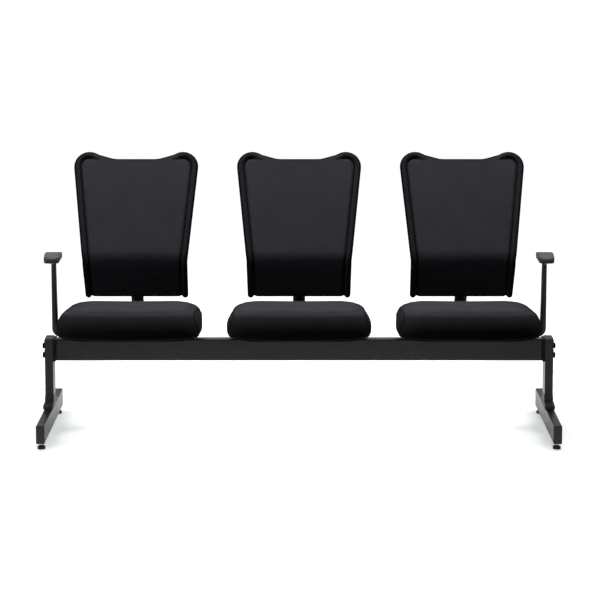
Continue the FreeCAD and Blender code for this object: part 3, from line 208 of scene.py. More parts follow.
class Effects:
    """Effects that several finishes share, each a node group that is built once."""

    def __init__(self) -> None:
        """Builds every group."""
        self.grain = self.build_grain()
        self.weave = self.build_weave()
        self.edges = self.build_edges()
        self.dust = self.build_dust()
        self.painted_top_shade = self.build_painted_top_shade()

    def build_grain(self) -> NodeTree:
        """Fine pebbled height and a broad, cloudy tone."""
        graph, given, result = new_group(
            "grain", (("Vector", "Vector", 0), ("Fine", "Float", 900.0), ("Broad", "Float", 7.0)),
            ("Height", "Tone"))
        cells = graph.add("TexVoronoi", {"Vector": given.outputs[0], "Scale": given.outputs[1]},
                          feature="SMOOTH_F1")
        fine = graph.noise(given.outputs[0], given.outputs[1], 2.0)
        broad = graph.noise(given.outputs[0], given.outputs[2], 4.0, roughness=0.6)
        height = graph.math("MULTIPLY", cells.outputs["Distance"], 0.6)
        height = graph.math("ADD", height, graph.math("MULTIPLY", fine, 0.4))
        graph.join((height, result.inputs[0]), (graph.span(broad, 0.3, 0.7), result.inputs[1]))
        return graph.tree

    def build_weave(self) -> NodeTree:
        """Threads that pass over and under each other, with slubs along them."""
        graph, given, result = new_group(
            "weave", (("Vector", "Vector", 0), ("Warp", "Float", 900.0), ("Weft", "Float", 900.0),
                      ("Slub", "Float", 0.3)), ("Height", "Gap", "Tone"))
        across = graph.math("MULTIPLY", graph.part(given.outputs[0], 0), given.outputs[1])
        along = graph.math("MULTIPLY", graph.part(given.outputs[0], 1), given.outputs[2])
        round_warp = self.ridge(graph, across)
        round_weft = self.ridge(graph, along)
        odd = graph.math("ADD", graph.math("FLOOR", across), graph.math("FLOOR", along))
        odd = graph.math("PINGPONG", odd, 1.0)
        lift_warp = graph.math("MULTIPLY_ADD", odd, 0.45, 0.55)
        lift_weft = graph.math("MULTIPLY_ADD", odd, -0.45, 1.0)
        warp = graph.math("MULTIPLY", round_warp, lift_warp)
        weft = graph.math("MULTIPLY", round_weft, lift_weft)
        height = graph.math("MAXIMUM", warp, weft)
        slub = graph.noise(given.outputs[0], 260.0, 3.0)
        swell = graph.math("MULTIPLY", slub, given.outputs[3])
        broad = graph.noise(given.outputs[0], 9.0, 5.0)
        graph.join((graph.math("ADD", height, swell), result.inputs[0]),
                   (graph.span(height, 0.25, 0.7, 1.0, 0.0), result.inputs[1]),
                   (graph.span(broad, 0.3, 0.7), result.inputs[2]))
        return graph.tree

    @staticmethod
    def ridge(graph: Graph, value: NodeSocket) -> NodeSocket:
        """Round ridges, one for each whole step of a value."""
        fraction = graph.math("FRACT", value)
        centred = graph.math("MULTIPLY_ADD", fraction, 2.0, -1.0)
        squared = graph.math("MULTIPLY", centred, centred)
        return graph.math("SQRT", graph.math("SUBTRACT", 1.0, squared, clamp=True))

    def build_edges(self) -> NodeTree:
        """Softened normals and a mask along hard edges."""
        graph, given, result = new_group("edges", (("Radius", "Float", 0.001),),
                                         ("Normal", "Edge"))
        bevel = graph.add("Bevel", {"Radius": given.outputs[0]}, samples=4)
        shape = graph.add("NewGeometry")
        alike = graph.add("VectorMath", {0: bevel.outputs[0], 1: shape.outputs["Normal"]},
                          operation="DOT_PRODUCT")
        graph.join((bevel.outputs[0], result.inputs[0]),
                   (graph.span(alike.outputs["Value"], 0.999, 0.93), result.inputs[1]))
        return graph.tree

    def build_dust(self) -> NodeTree:
        """Mask of faint dust and lint on what faces up."""
        graph, given, result = new_group(
            "dust", (("Vector", "Vector", 0), ("Fine", "Float", 220.0)), ("Mask",))
        up = graph.span(graph.facing_up(), 0.2, 1.0)
        specks = graph.noise(given.outputs[0], given.outputs[1], 6.0, roughness=0.7)
        mask = graph.math("MULTIPLY", up, graph.span(specks, 0.5, 0.8))
        graph.join((mask, result.inputs[0]))
        return graph.tree

    def build_painted_top_shade(self) -> NodeTree:
        """Mask of painted shade: 1 on what faces straight up, falling to the given value on the
        sides and front, as if lit from above.
        """
        graph, given, result = new_group("painted_top_shade", (("SideShade", "Float", 1.0),), ("Mask",))
        up = graph.math("POWER", graph.math("MAXIMUM", graph.facing_up(), 0.0), 4.0)
        rest = graph.math("SUBTRACT", 1.0, given.outputs[0])
        graph.join((graph.math("MULTIPLY_ADD", rest, up, given.outputs[0]), result.inputs[0]))
        return graph.tree


def new_material(name: str) -> tuple[Material, Graph]:
    """A new material with an empty node tree."""
    material = bpy.data.materials.new(name)
    material.use_nodes = True
    return material, Graph(material.node_tree)


def finish_surface(graph: Graph, inputs: dict) -> None:
    """Ends a material with its shader, over plain values and sockets that vary."""
    shader = graph.add("BsdfPrincipled", inputs)
    graph.add("OutputMaterial", {"Surface": shader.outputs[0]})


def rgba(colour: Colour, factor: float = 1.0) -> tuple[float, float, float, float]:
    """The colour with full alpha, lighter or darker by a factor."""
    return (*(min(1.0, factor * part) for part in colour), 1.0)


@dataclass(frozen=True)
class PaintFinish:
    """Powder coat on steel: faint orange peel, softened edges, a little dust.

    Attributes:
        name: the material's name.
        colour: the coat's colour.
        worn: colour that shows through along the edges.
        roughness: middle roughness of the coat.
        level: specular level.
        peel: height of the orange peel.
        edge: radius of the edges.
    """

    name: str
    colour: Colour
    worn: Colour
    roughness: float
    level: float
    peel: float = 0.00004
    edge: float = 0.0008

    def build(self, effects: Effects) -> Material:
        """Makes the material."""
        material, graph = new_material(self.name)
        place = graph.object_place()
        peel, cloud = graph.group(effects.grain, place, 650.0, 6.0)
        normal, edge = graph.group(effects.edges, self.edge)
        dust = graph.group(effects.dust, place)[0]
        tone = graph.mix(graph.math("MULTIPLY", cloud, 0.3), rgba(self.colour),
                         rgba(self.colour, 1.35))
        tone = graph.mix(graph.math("MULTIPLY", edge, 0.55), tone, rgba(self.worn))
        tone = graph.mix(graph.math("MULTIPLY", dust, 0.1), tone, rgba(DUST))
        finish_surface(graph, {
            "Base Color": tone, "Specular IOR Level": self.level,
            "Roughness": graph.span(cloud, 0, 1, self.roughness - 0.05, self.roughness + 0.06),
            "Normal": graph.bump(peel, 0.6, self.peel, normal)})
        return material


@dataclass(frozen=True)
class MouldedFinish:
    """Moulded plastic or soft skin with a fine pebbled grain.

    Attributes:
        name: the material's name.
        colour: the colour in the hollows.
        raised: the colour on the grain's tops.
        roughness: middle roughness.
        level: specular level.
        fine: grains per metre.
        depth: height of the grain.
        edge: radius of the edges.
        sheen: weight of the sheen.
    """

    name: str
    colour: Colour
    raised: Colour
    roughness: float
    level: float
    fine: float
    depth: float
    edge: float = 0.0006
    sheen: float = 0.0

    def build(self, effects: Effects) -> Material:
        """Makes the material."""
        material, graph = new_material(self.name)
        place = graph.object_place()
        pebbles, cloud = graph.group(effects.grain, place, self.fine, 11.0)
        normal, edge = graph.group(effects.edges, self.edge)
        dust = graph.group(effects.dust, place, 300.0)[0]
        tone = graph.mix(pebbles, rgba(self.colour), rgba(self.raised))
        tone = graph.mix(graph.math("MULTIPLY", edge, 0.35), tone, rgba(self.raised, 2.2))
        tone = graph.mix(graph.math("MULTIPLY", dust, 0.12), tone, rgba(DUST, 0.94))
        finish_surface(graph, {
            "Base Color": tone, "Specular IOR Level": self.level,
            "Roughness": graph.span(cloud, 0, 1, self.roughness - 0.07, self.roughness + 0.07),
            "Sheen Weight": self.sheen, "Sheen Roughness": 0.5,
            "Normal": graph.bump(pebbles, 0.7, self.depth, normal)})
        return material


@dataclass(frozen=True)
class SteelFinish:
    """Plated or blackened steel with faint drawn lines.

    Attributes:
        name: the material's name.
        colour: the metal's colour.
        stain: colour of the duller patches.
        roughness: middle roughness.
    """

    name: str
    colour: Colour
    stain: Colour
    roughness: float

    def build(self, effects: Effects) -> Material:
        """Makes the material."""
        material, graph = new_material(self.name)
        place = graph.object_place()
        drawn = graph.add("Mapping", {"Vector": place, "Scale": (40.0, 900.0, 900.0)})
        lines = graph.noise(drawn.outputs[0], 1.0, 3.0)
        cloud = graph.group(effects.grain, place, 1200.0, 60.0)[1]
        normal, edge = graph.group(effects.edges, 0.0004)
        tone = graph.mix(cloud, rgba(self.colour), rgba(self.stain))
        tone = graph.mix(graph.math("MULTIPLY", edge, 0.5), tone, rgba(self.colour, 1.6))
        finish_surface(graph, {
            "Base Color": tone, "Metallic": 1.0,
            "Roughness": graph.span(lines, 0.3, 0.7, self.roughness - 0.08,
                                    self.roughness + 0.1),
            "Normal": graph.bump(lines, 0.35, 0.00003, normal)})
        return material


@dataclass(frozen=True)
class ClothFinish:
    """Woven or knitted upholstery cloth on the piece's own cloth map.

    Attributes:
        name: the material's name.
        colour: the thread's colour.
        lit: colour of the threads' fuzzy tops.
        gap: colour between the threads.
        warp: threads per metre across.
        weft: threads per metre along.
        depth: height of the threads.
        sheen: weight of the fuzz.
        binding_and_shade: colour of the seams and edge bindings, and of the painted shade on the
            sides and beside the tubes.
        slub: how uneven the threads are.
        roughness: roughness of the threads.
        level: specular level.
        side_shade: how much of the cloth's colour the sides and front keep, the rest painted shade
            on what does not face up; 1 for none.
    """

    name: str
    colour: Colour
    lit: Colour
    gap: Colour
    warp: float
    weft: float
    depth: float
    sheen: float
    binding_and_shade: Colour = (0.0035, 0.0033, 0.0036)
    slub: float = 0.35
    roughness: float = 0.92
    level: float = 0.02
    side_shade: float = 1.0

    def build(self, effects: Effects) -> Material:
        """Makes the material."""
        material, graph = new_material(self.name)
        place = graph.add("UVMap", uv_map=CLOTH_MAP).outputs[0]
        height, gap, cloud = graph.group(effects.weave, place, self.warp, self.weft, self.slub)
        solid = graph.object_place()
        dust = graph.group(effects.dust, solid, 420.0)[0]
        wear = graph.noise(solid, 5.0, 4.0)
        seam = graph.add("Attribute", attribute_name=SEAM_AND_SHADE_MASK).outputs["Fac"]
        cloth = graph.mix(cloud, rgba(self.colour), rgba(self.lit))
        cloth = graph.mix(graph.math("MULTIPLY", gap, 0.6), cloth, rgba(self.gap))
        cloth = graph.mix(graph.math("MULTIPLY", dust, 0.04), cloth, rgba(DUST, 1.25))
        # Painted shade: the cloth goes towards the dark colour where it does not face up, as if lit
        # only from above.
        cloth = graph.mix(graph.group(effects.painted_top_shade, self.side_shade)[0], rgba(self.binding_and_shade), cloth)
        # The mask darkens seams and edge bindings, and on the backs paints shade in the grooves
        # beside the tubes.
        cloth = graph.mix(seam, cloth, rgba(self.binding_and_shade))
        finish_surface(graph, {
            "Base Color": cloth, "Specular IOR Level": self.level,
            "Roughness": graph.span(wear, 0.3, 0.7, self.roughness - 0.1,
                                    self.roughness + 0.06),
            "Sheen Weight": self.sheen, "Sheen Roughness": 0.4,
            "Sheen Tint": rgba((0.4, 0.38, 0.44)),
            "Normal": graph.bump(height, 0.8, self.depth)})
        return material


@dataclass(frozen=True)
class PlyFinish:
    """Bare plywood: long grain on the faces, stacked veneers on the edges.

    Attributes:
        name: the material's name.
        light: colour of the early wood.
        dark: colour of the grain's lines.
        ply: thickness of one veneer.
    """

    name: str
    light: Colour
    dark: Colour
    ply: float

    def build(self, effects: Effects) -> Material:
        """Makes the material."""
        material, graph = new_material(self.name)
        place = graph.object_place()
        long = graph.add("Mapping", {"Vector": place, "Scale": (22.0, 1.2, 22.0)}).outputs[0]
        figure = graph.noise(long, 3.0, 6.0, distortion=0.6)
        pores = graph.noise(long, 45.0, 2.0)
        layer = graph.math("FRACT", graph.math("DIVIDE", graph.part(place, 2), 2 * self.ply))
        layer = graph.math("GREATER_THAN", layer, 0.5)
        on_edge = graph.math("LESS_THAN", graph.math("ABSOLUTE", graph.facing_up()), 0.5)
        veneer = graph.math("MULTIPLY", graph.math("MULTIPLY", layer, on_edge), 0.7)
        tone = graph.math("MULTIPLY", graph.span(figure, 0.35, 0.7), 0.6)
        wood = graph.mix(graph.math("MAXIMUM", tone, veneer), rgba(self.light), rgba(self.dark))
        finish_surface(graph, {
            "Base Color": wood, "Specular IOR Level": 0.35,
            "Roughness": graph.span(pores, 0.3, 0.7, 0.55, 0.75),
            "Normal": graph.bump(pores, 0.5, 0.0001)})
        return material


FINISHES = {
    Slot.FRAME: PaintFinish("frame_coat", (0.0058, 0.0044, 0.0052), (0.02, 0.018, 0.02),
                            0.3, 0.38),
    Slot.MATT: PaintFinish("matt_coat", (0.0035, 0.0034, 0.0036), (0.008, 0.008, 0.008),
                           0.7, 0.2),
    Slot.PLASTIC: MouldedFinish("moulded_black", (0.011, 0.011, 0.0117), (0.018, 0.018, 0.0192),
                                0.48, 0.45, 1400.0, 0.00004),
    Slot.BOLTS: SteelFinish("blackened_steel", (0.006, 0.006, 0.0065), (0.004, 0.004, 0.0045),
                            0.5),
    Slot.PLATED: SteelFinish("zinc_plate", (0.56, 0.57, 0.58), (0.42, 0.43, 0.44), 0.36),
    Slot.GLIDE: MouldedFinish("glide_black", (0.004, 0.004, 0.004), (0.01, 0.01, 0.01),
                              0.5, 0.4, 1800.0, 0.00003),
    Slot.ARM: PaintFinish("arm_coat", (0.007, 0.0065, 0.007), (0.014, 0.014, 0.015), 0.46, 0.4,
                          0.00003, 0.0015),
    Slot.PAD: MouldedFinish("soft_skin", (0.011, 0.011, 0.012), (0.02, 0.02, 0.021),
                            0.52, 0.4, 1100.0, 0.00008, 0.001, 0.15),
    Slot.WOOD: PlyFinish("birch_ply", (0.56, 0.4, 0.23), (0.3, 0.18, 0.085), 0.0013),
    # The seat cloth gets painted shade on its sides and front.
    Slot.SEAT: ClothFinish("seat_cloth", (0.043, 0.0398, 0.048), (0.05, 0.0468, 0.055),
                           (0.014, 0.013, 0.016), 900.0, 900.0, 0.0004, 0.01, side_shade=0.26),
    Slot.TUBE: PaintFinish("tube_coat", (0.01, 0.01, 0.01), (0.03, 0.03, 0.03), 0.45, 0.4),
    Slot.BACK: ClothFinish("back_knit", (0.036, 0.0345, 0.041), (0.042, 0.04, 0.047),
                           (0.012, 0.0115, 0.013), 1100.0, 760.0, 0.0003, 0.01, slub=0.25),
}


# Shared mesh work


def rounded_outline(mesh: BMesh, corners: Sequence[Corner], arc_steps: int, run_steps: int) -> None:
    """Draws a closed outline: a vertex is pulled along the straight runs and spun round corners.

    Args:
        mesh: the empty mesh that gets the outline.
        corners: the corners in order, anticlockwise.
        arc_steps: edges in each arc.
        run_steps: edges in each straight run.
    """
    arcs = []
    count = len(corners)
    for index, corner in enumerate(corners):
        here = Vector((corner.x, corner.y))
        before = Vector((corners[index - 1].x, corners[index - 1].y))
        after = Vector((corners[(index + 1) % count].x, corners[(index + 1) % count].y))
        arriving = (here - before).normalized()
        leaving = (after - here).normalized()
        turn = math.atan2(arriving.cross(leaving), arriving.dot(leaving))
        reach = corner.radius * abs(math.tan(turn / 2))
        side = Vector((-arriving.y, arriving.x)) * math.copysign(corner.radius, turn)
        start = here - arriving * reach
        arcs.append((start, start + side, turn, here + leaving * reach))
    first = mesh.verts.new(arcs[0][0].to_3d())
    tip = first
    for index, (start, centre, turn, end) in enumerate(arcs):
        if (end - start).length > 1e-6:
            spun = bmesh.ops.spin(mesh, geom=[tip], cent=centre.to_3d(), axis=Z_AXIS, angle=turn,
                                  steps=arc_steps, use_merge=False)
            tip = next(part for part in spun["geom_last"] if isinstance(part, BMVert))
        following = arcs[(index + 1) % count][0]
        for step in range(1, run_steps + 1):
            target = end.lerp(following, step / run_steps).to_3d()
            if (target - tip.co).length < 1e-6:
                continue
            pulled = bmesh.ops.extrude_vert_indiv(mesh, verts=[tip])
            tip = pulled["verts"][0]
            bmesh.ops.translate(mesh, verts=[tip], vec=target - tip.co)
    bmesh.ops.remove_doubles(mesh, verts=mesh.verts, dist=1e-5)


def make_piece(name: str, mesh: BMesh, finish: Material,
               body: str = ROOT_BODY, sharp: float | None = None) -> Object:
    """Turns a bmesh into a smooth piece that rides on a body.

    Args:
        name: the piece's name.
        mesh: the bmesh, which is freed.
        finish: its material.
        body: the body that it rides on.
        sharp: angle in degrees above which an edge stays sharp, or None.

    Returns:
        The new object.
    """
    data = bpy.data.meshes.new(name)
    mesh.to_mesh(data)
    mesh.free()
    data.materials.append(finish)
    data.polygons.foreach_set("use_smooth", [True] * len(data.polygons))
    if sharp is not None:
        data.set_sharp_from_angle(angle=math.radians(sharp))
    piece = bpy.data.objects.new(name, data)
    bpy.context.scene.collection.objects.link(piece)
    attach(piece, body)
    return piece


def bake_modifiers(piece: Object) -> None:
    """Applies every modifier of a piece to its mesh."""
    depsgraph = bpy.context.evaluated_depsgraph_get()
    data = bpy.data.meshes.new_from_object(piece.evaluated_get(depsgraph),
                                           preserve_all_data_layers=True, depsgraph=depsgraph)
    old = piece.data
    piece.modifiers.clear()
    piece.data = data
    bpy.data.meshes.remove(old)


def all_parts(mesh: BMesh) -> list[BMVert | BMEdge | BMFace]:
    """Every vertex, edge and face of a mesh."""
    return [*mesh.verts, *mesh.edges, *mesh.faces]


def smooth(mesh: BMesh, passes: int) -> None:
    """Smooths a mesh in a number of passes."""
    for _ in range(passes):
        bmesh.ops.smooth_vert(mesh, verts=mesh.verts, factor=0.5, use_axis_x=True,
                              use_axis_y=True, use_axis_z=True)


def soft_copy(node: str, voxel: float, passes: int) -> BMesh:
    """Copy of a soft solid with even faces and softened edges.

    Args:
        node: the solid's node.
        voxel: size of the new faces.
        passes: rounds of smoothing.

    Returns:
        The copy, with the solid's own extent.
    """
    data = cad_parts[node].data.copy()
    mesh = bmesh.new()
    mesh.from_mesh(data)
    bmesh.ops.remove_doubles(mesh, verts=mesh.verts, dist=1e-5)
    mesh.to_mesh(data)
    piece = bpy.data.objects.new("copy", data)
    bpy.context.scene.collection.objects.link(piece)
    remesh = piece.modifiers.new("even", "REMESH")
    remesh.mode = "VOXEL"
    remesh.voxel_size = voxel
    bake_modifiers(piece)
    mesh.clear()
    mesh.from_mesh(piece.data)
    bpy.data.objects.remove(piece)
    smooth(mesh, passes)
    fit_box(mesh, *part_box(node))
    return mesh


def fit_box(mesh: BMesh, low: Vector, high: Vector) -> None:
    """Scales a mesh along each axis so that it fills a box."""
    for axis in range(3):
        places = [vertex.co[axis] for vertex in mesh.verts]
        least, most = min(places), max(places)
        scale = (high[axis] - low[axis]) / (most - least)
        for vertex in mesh.verts:
            vertex.co[axis] = low[axis] + (vertex.co[axis] - least) * scale


def slice_mesh(mesh: BMesh, point: Vector, normal: Vector) -> None:
    """Cuts every face that a plane crosses."""
    bmesh.ops.bisect_plane(mesh, geom=all_parts(mesh), plane_co=point, plane_no=normal,
                           dist=0.0003)


def smoothstep(value: float, low: float, high: float) -> float:
    """0 below low, 1 above high and smooth in between."""
    share = min(1.0, max(0.0, (value - low) / (high - low)))
    return share * share * (3 - 2 * share)


# Cushions


@dataclass
class Cushions:
    """Foam cushions in cloth: a top panel that rolls over the front, and sewn side panels.

    Attributes:
        voxel: size of the simulated cloth's faces.
        slack: how much smaller the cloth starts.
        swell: how far the cloth may rise.
        steps: steps of the simulation.
        relax: rounds of smoothing that take the wrinkles out.
        waist: height of the seam's lower part over the floor.
        seam_x: seam to the cushion's middle at the waist.
        seam_lean: lean of the seam's plane, in degrees.
        seam_depth: depth of the sewn seam.
        seam_width: half width of the dip along the seam.
        dish: how far the rear middle of the top is pressed in.
        dish_reach: front and rear end of the part that deepens the dish.
        dish_half: half width of the dish.
        snug: how closely the cloth follows the foam, 1 for exactly.
        settle: rounds of smoothing once the cloth lies on the foam.
    """

    voxel: float = 6 * MM
    slack: float = 0.99
    swell: float = 4 * MM
    steps: int = 20
    relax: int = 4
    waist: float = 395 * MM
    seam_x: float = 247 * MM
    seam_lean: float = 14.0
    seam_depth: float = 1.8 * MM
    seam_width: float = 5 * MM
    dish: float = 4 * MM
    dish_reach: tuple[float, float] = (-30 * MM, 190 * MM)
    dish_half: float = 200 * MM
    snug: float = 0.7
    settle: int = 2

    def off_seam(self, point: Vector) -> float:
        """Signed distance from the nearer side seam's plane, positive on the side panel."""
        place, normal = self.seam_plane(1 if point.x >= 0 else -1)
        return (point - place).dot(normal)

    def seam_plane(self, sign: int) -> tuple[Vector, Vector]:
        """A point and the outward normal of one side seam's plane."""
        lean = math.radians(self.seam_lean)
        point = Vector((sign * self.seam_x, 0, self.waist))
        return point, Vector((sign * math.cos(lean), 0, math.sin(lean)))

    def held(self, point: Vector, base: float) -> float:
        """How firmly a point of the cloth is held: by staples below, by thread at the seams."""
        low = 1.0 - smoothstep(point.z, base + 2 * MM, base + 12 * MM)
        seam = 1.0 - smoothstep(abs(self.off_seam(point)), 3 * MM, 9 * MM)
        return max(low, 0.8 * seam)

    def inflate(self, mesh: BMesh, base: float) -> None:
        """Blows the cloth up a little over the foam and keeps the result.

        Args:
            mesh: the cushion's mesh, which is changed.
            base: height of its lower edge.
        """
        data = bpy.data.meshes.new("swelling")
        mesh.to_mesh(data)
        piece = bpy.data.objects.new("swelling", data)
        scene = bpy.context.scene
        scene.collection.objects.link(piece)
        group = piece.vertex_groups.new(name="held")
        for vertex in data.vertices:
            weight = self.held(vertex.co, base)
            if weight > 0.01:
                group.add([vertex.index], weight, "REPLACE")
        cloth = piece.modifiers.new("swelling", "CLOTH")
        cloth.point_cache.frame_start = 1
        cloth.point_cache.frame_end = self.steps
        settings = cloth.settings
        settings.quality = 4
        settings.mass = 0.25
        settings.tension_stiffness = 12
        settings.compression_stiffness = 12
        settings.bending_stiffness = 2.0
        settings.use_pressure = True
        settings.uniform_pressure_force = 4
        settings.effector_weights.gravity = 0
        settings.vertex_group_mass = group.name
        for step in range(1, self.steps + 1):
            scene.frame_set(step)
        swollen = piece.evaluated_get(bpy.context.evaluated_depsgraph_get()).data
        for vertex, moved in zip(mesh.verts, swollen.vertices):
            move = moved.co - vertex.co
            if move.length > self.swell:
                move *= self.swell / move.length
            vertex.co += move
        bpy.data.objects.remove(piece)
        scene.frame_set(1)
        bmesh.ops.symmetrize(mesh, input=all_parts(mesh), direction="X", dist=0.0005)
        smooth(mesh, self.relax)

    def draw_over(self, mesh: BMesh, foam: BVHTree) -> None:
        """Draws the cloth close over the foam, which keeps its folds faint."""
        for vertex in mesh.verts:
            nearest = foam.find_nearest(vertex.co)[0]
            vertex.co = vertex.co.lerp(nearest, self.snug)
        smooth(mesh, self.settle)

    def sew(self, mesh: BMesh, base: float) -> None:
        """Cuts the mesh along both side seams and draws the cloth in there."""
        for sign in (-1, 1):
            slice_mesh(mesh, *self.seam_plane(sign))
        mesh.normal_update()
        mask = mesh.verts.layers.float.new(SEAM_AND_SHADE_MASK)
        for vertex in mesh.verts:
            share = abs(self.off_seam(vertex.co)) / self.seam_width
            above = smoothstep(vertex.co.z, base, base + 8 * MM)
            if share < 1:
                vertex[mask] = 0.8 * (1 - smoothstep(share, 0.1, 0.5))
                vertex.co -= vertex.normal * self.seam_depth * above * (1 - share) ** 2

    def press(self, mesh: BMesh, base: float) -> None:
        """Lowers the rear middle of the top a little."""
        for vertex in mesh.verts:
            top = smoothstep(vertex.co.z, base + 45 * MM, base + 75 * MM)
            rear = smoothstep(vertex.co.y, *self.dish_reach)
            middle = max(0.0, 1 - (vertex.co.x / self.dish_half) ** 2)
            vertex.co.z -= self.dish * top * rear * middle

    def lay_cloth(self, mesh: BMesh, crown: float) -> None:
        """Maps the cloth: over the top and down the front in one piece, and the side panels."""
        layer = mesh.loops.layers.uv.new(CLOTH_MAP)
        for face in mesh.faces:
            middle = face.calc_center_median()
            on_side = self.off_seam(middle) > 0
            towards = 1 if middle.y > 0 else -1
            for loop in face.loops:
                point = loop.vert.co
                along = point.y + towards * (crown - point.z)
                loop[layer].uv = (point.y, point.z) if on_side else (point.x, along)

    def build(self, finish: Material) -> None:
        """Makes the three cushions from one shaped and sewn mesh."""
        low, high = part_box("cushion_middle")
        mesh = soft_copy("cushion_middle", self.voxel, 2)
        foam = BVHTree.FromBMesh(mesh)
        middle = (low + high) / 2
        bmesh.ops.scale(mesh, verts=mesh.verts, vec=(self.slack, self.slack, 1),
                        space=Matrix.Translation(-middle))
        self.inflate(mesh, low.z)
        bmesh.ops.subdivide_edges(mesh, edges=mesh.edges, cuts=1, use_grid_fill=True, smooth=1.0)
        fit_box(mesh, low, high)
        self.draw_over(mesh, foam)
        self.press(mesh, low.z)
        self.sew(mesh, low.z)
        self.lay_cloth(mesh, high.z)
        for seat, index in SEATS:
            copy = mesh.copy()
            bmesh.ops.translate(copy, verts=copy.verts, vec=(index * SEAT_PITCH, 0, 0))
            piece = make_piece(f"cushion_cover_{seat}", copy, finish)
            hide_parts(f"cushion_{seat}")
            LOG.info("%s: %d faces", piece.name, len(piece.data.polygons))
        mesh.free()


@dataclass
class TurnedEdge:
    """The cover's margin, turned under the pan and stapled there.

    Attributes:
        gap: gap between the pan and the cloth.
        wall: thickness of the cloth.
        rise: how far the cloth reaches up beside the pan.
        corner: corner radius of the pan.
        margin: width of the cloth under the pan.
        staple: length, width and height of a staple.
        pitch: staple to staple.
    """

    gap: float = 0.7 * MM
    wall: float = 0.9 * MM
    rise: float = 9 * MM
    corner: float = 60 * MM
    margin: float = 24 * MM
    staple: tuple[float, float, float] = (11 * MM, 1.1 * MM, 0.7 * MM)
    pitch: float = 34 * MM

    def outline(self, low: Vector, high: Vector, grow: float) -> list[Corner]:
        """Corners of the pan's outline, moved outwards, anticlockwise."""
        radius = self.corner + grow
        left, right = low.x - grow, high.x + grow
        front, rear = low.y - grow, high.y + grow
        return [Corner(left, front, radius), Corner(right, front, radius),
                Corner(right, rear, radius), Corner(left, rear, radius)]

    def strip(self, low: Vector, high: Vector) -> BMesh:
        """The turned cloth of one pan."""
        mesh = bmesh.new()
        rounded_outline(mesh, self.outline(low, high, self.gap), 10, 6)
        bmesh.ops.translate(mesh, verts=mesh.verts, vec=(0, 0, low.z + self.rise))
        middle = (low + high) / 2
        half = (high - low) / 2
        path = [(0.0, low.z + 2 * MM), (0.0, low.z), (0.6 * MM, low.z - self.gap),
                (2.2 * MM, low.z - self.gap), (self.margin, low.z - self.gap)]
        edges = mesh.edges[:]
        drawn = 0.0
        for inward, height in path:
            made = bmesh.ops.extrude_edge_only(mesh, edges=edges)["geom"]
            verts = [part for part in made if isinstance(part, BMVert)]
            edges = [part for part in made if isinstance(part, BMEdge)
                     and all(vertex in set(verts) for vertex in part.verts)]
            for vertex in verts:
                vertex.co.x = middle.x + (vertex.co.x - middle.x) * (
                    (half.x - inward) / (half.x - drawn))
                vertex.co.y = middle.y + (vertex.co.y - middle.y) * (
                    (half.y - inward) / (half.y - drawn))
                vertex.co.z = height
            drawn = inward
        layer = mesh.loops.layers.uv.new(CLOTH_MAP)
        for face in mesh.faces:
            for loop in face.loops:
                loop[layer].uv = (loop.vert.co.x, loop.vert.co.y + loop.vert.co.z)
        bmesh.ops.recalc_face_normals(mesh, faces=mesh.faces)
        return mesh

    def staples(self, low: Vector, high: Vector) -> BMesh:
        """A row of staples along the middle of the turned cloth."""
        row = bmesh.new()
        rounded_outline(row, self.outline(low, high, -self.margin * 0.6), 6, 1)
        mesh = bmesh.new()
        left = 0.0
        for edge in row.edges:
            start, end = (vertex.co.copy() for vertex in edge.verts)
            run = end - start
            while left < run.length:
                point = start + run.normalized() * left
                turn = Matrix.Rotation(math.atan2(run.y, run.x), 4, "Z")
                place = Matrix.Translation((point.x, point.y, low.z - self.gap - self.wall))
                size = Matrix.Diagonal((*self.staple, 1))
                bmesh.ops.create_cube(mesh, size=1, matrix=place @ turn @ size)
                left += self.pitch
            left -= run.length
        row.free()
        return mesh

    def build(self, finishes: dict[Slot, Material]) -> None:
        """Makes the turned cloth and the staples of the three pans."""
        for seat, _ in SEATS:
            low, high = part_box(f"pan_{seat}")
            piece = make_piece(f"turned_edge_{seat}", self.strip(low, high),
                               finishes[Slot.SEAT])
            walls = piece.modifiers.new("wall", "SOLIDIFY")
            walls.thickness = self.wall
            walls.offset = 1
            bake_modifiers(piece)
            staples = make_piece(f"staples_{seat}", self.staples(low, high),
                                 finishes[Slot.PLATED])
            LOG.info("%s: %d faces", piece.name, len(piece.data.polygons))


# Backs


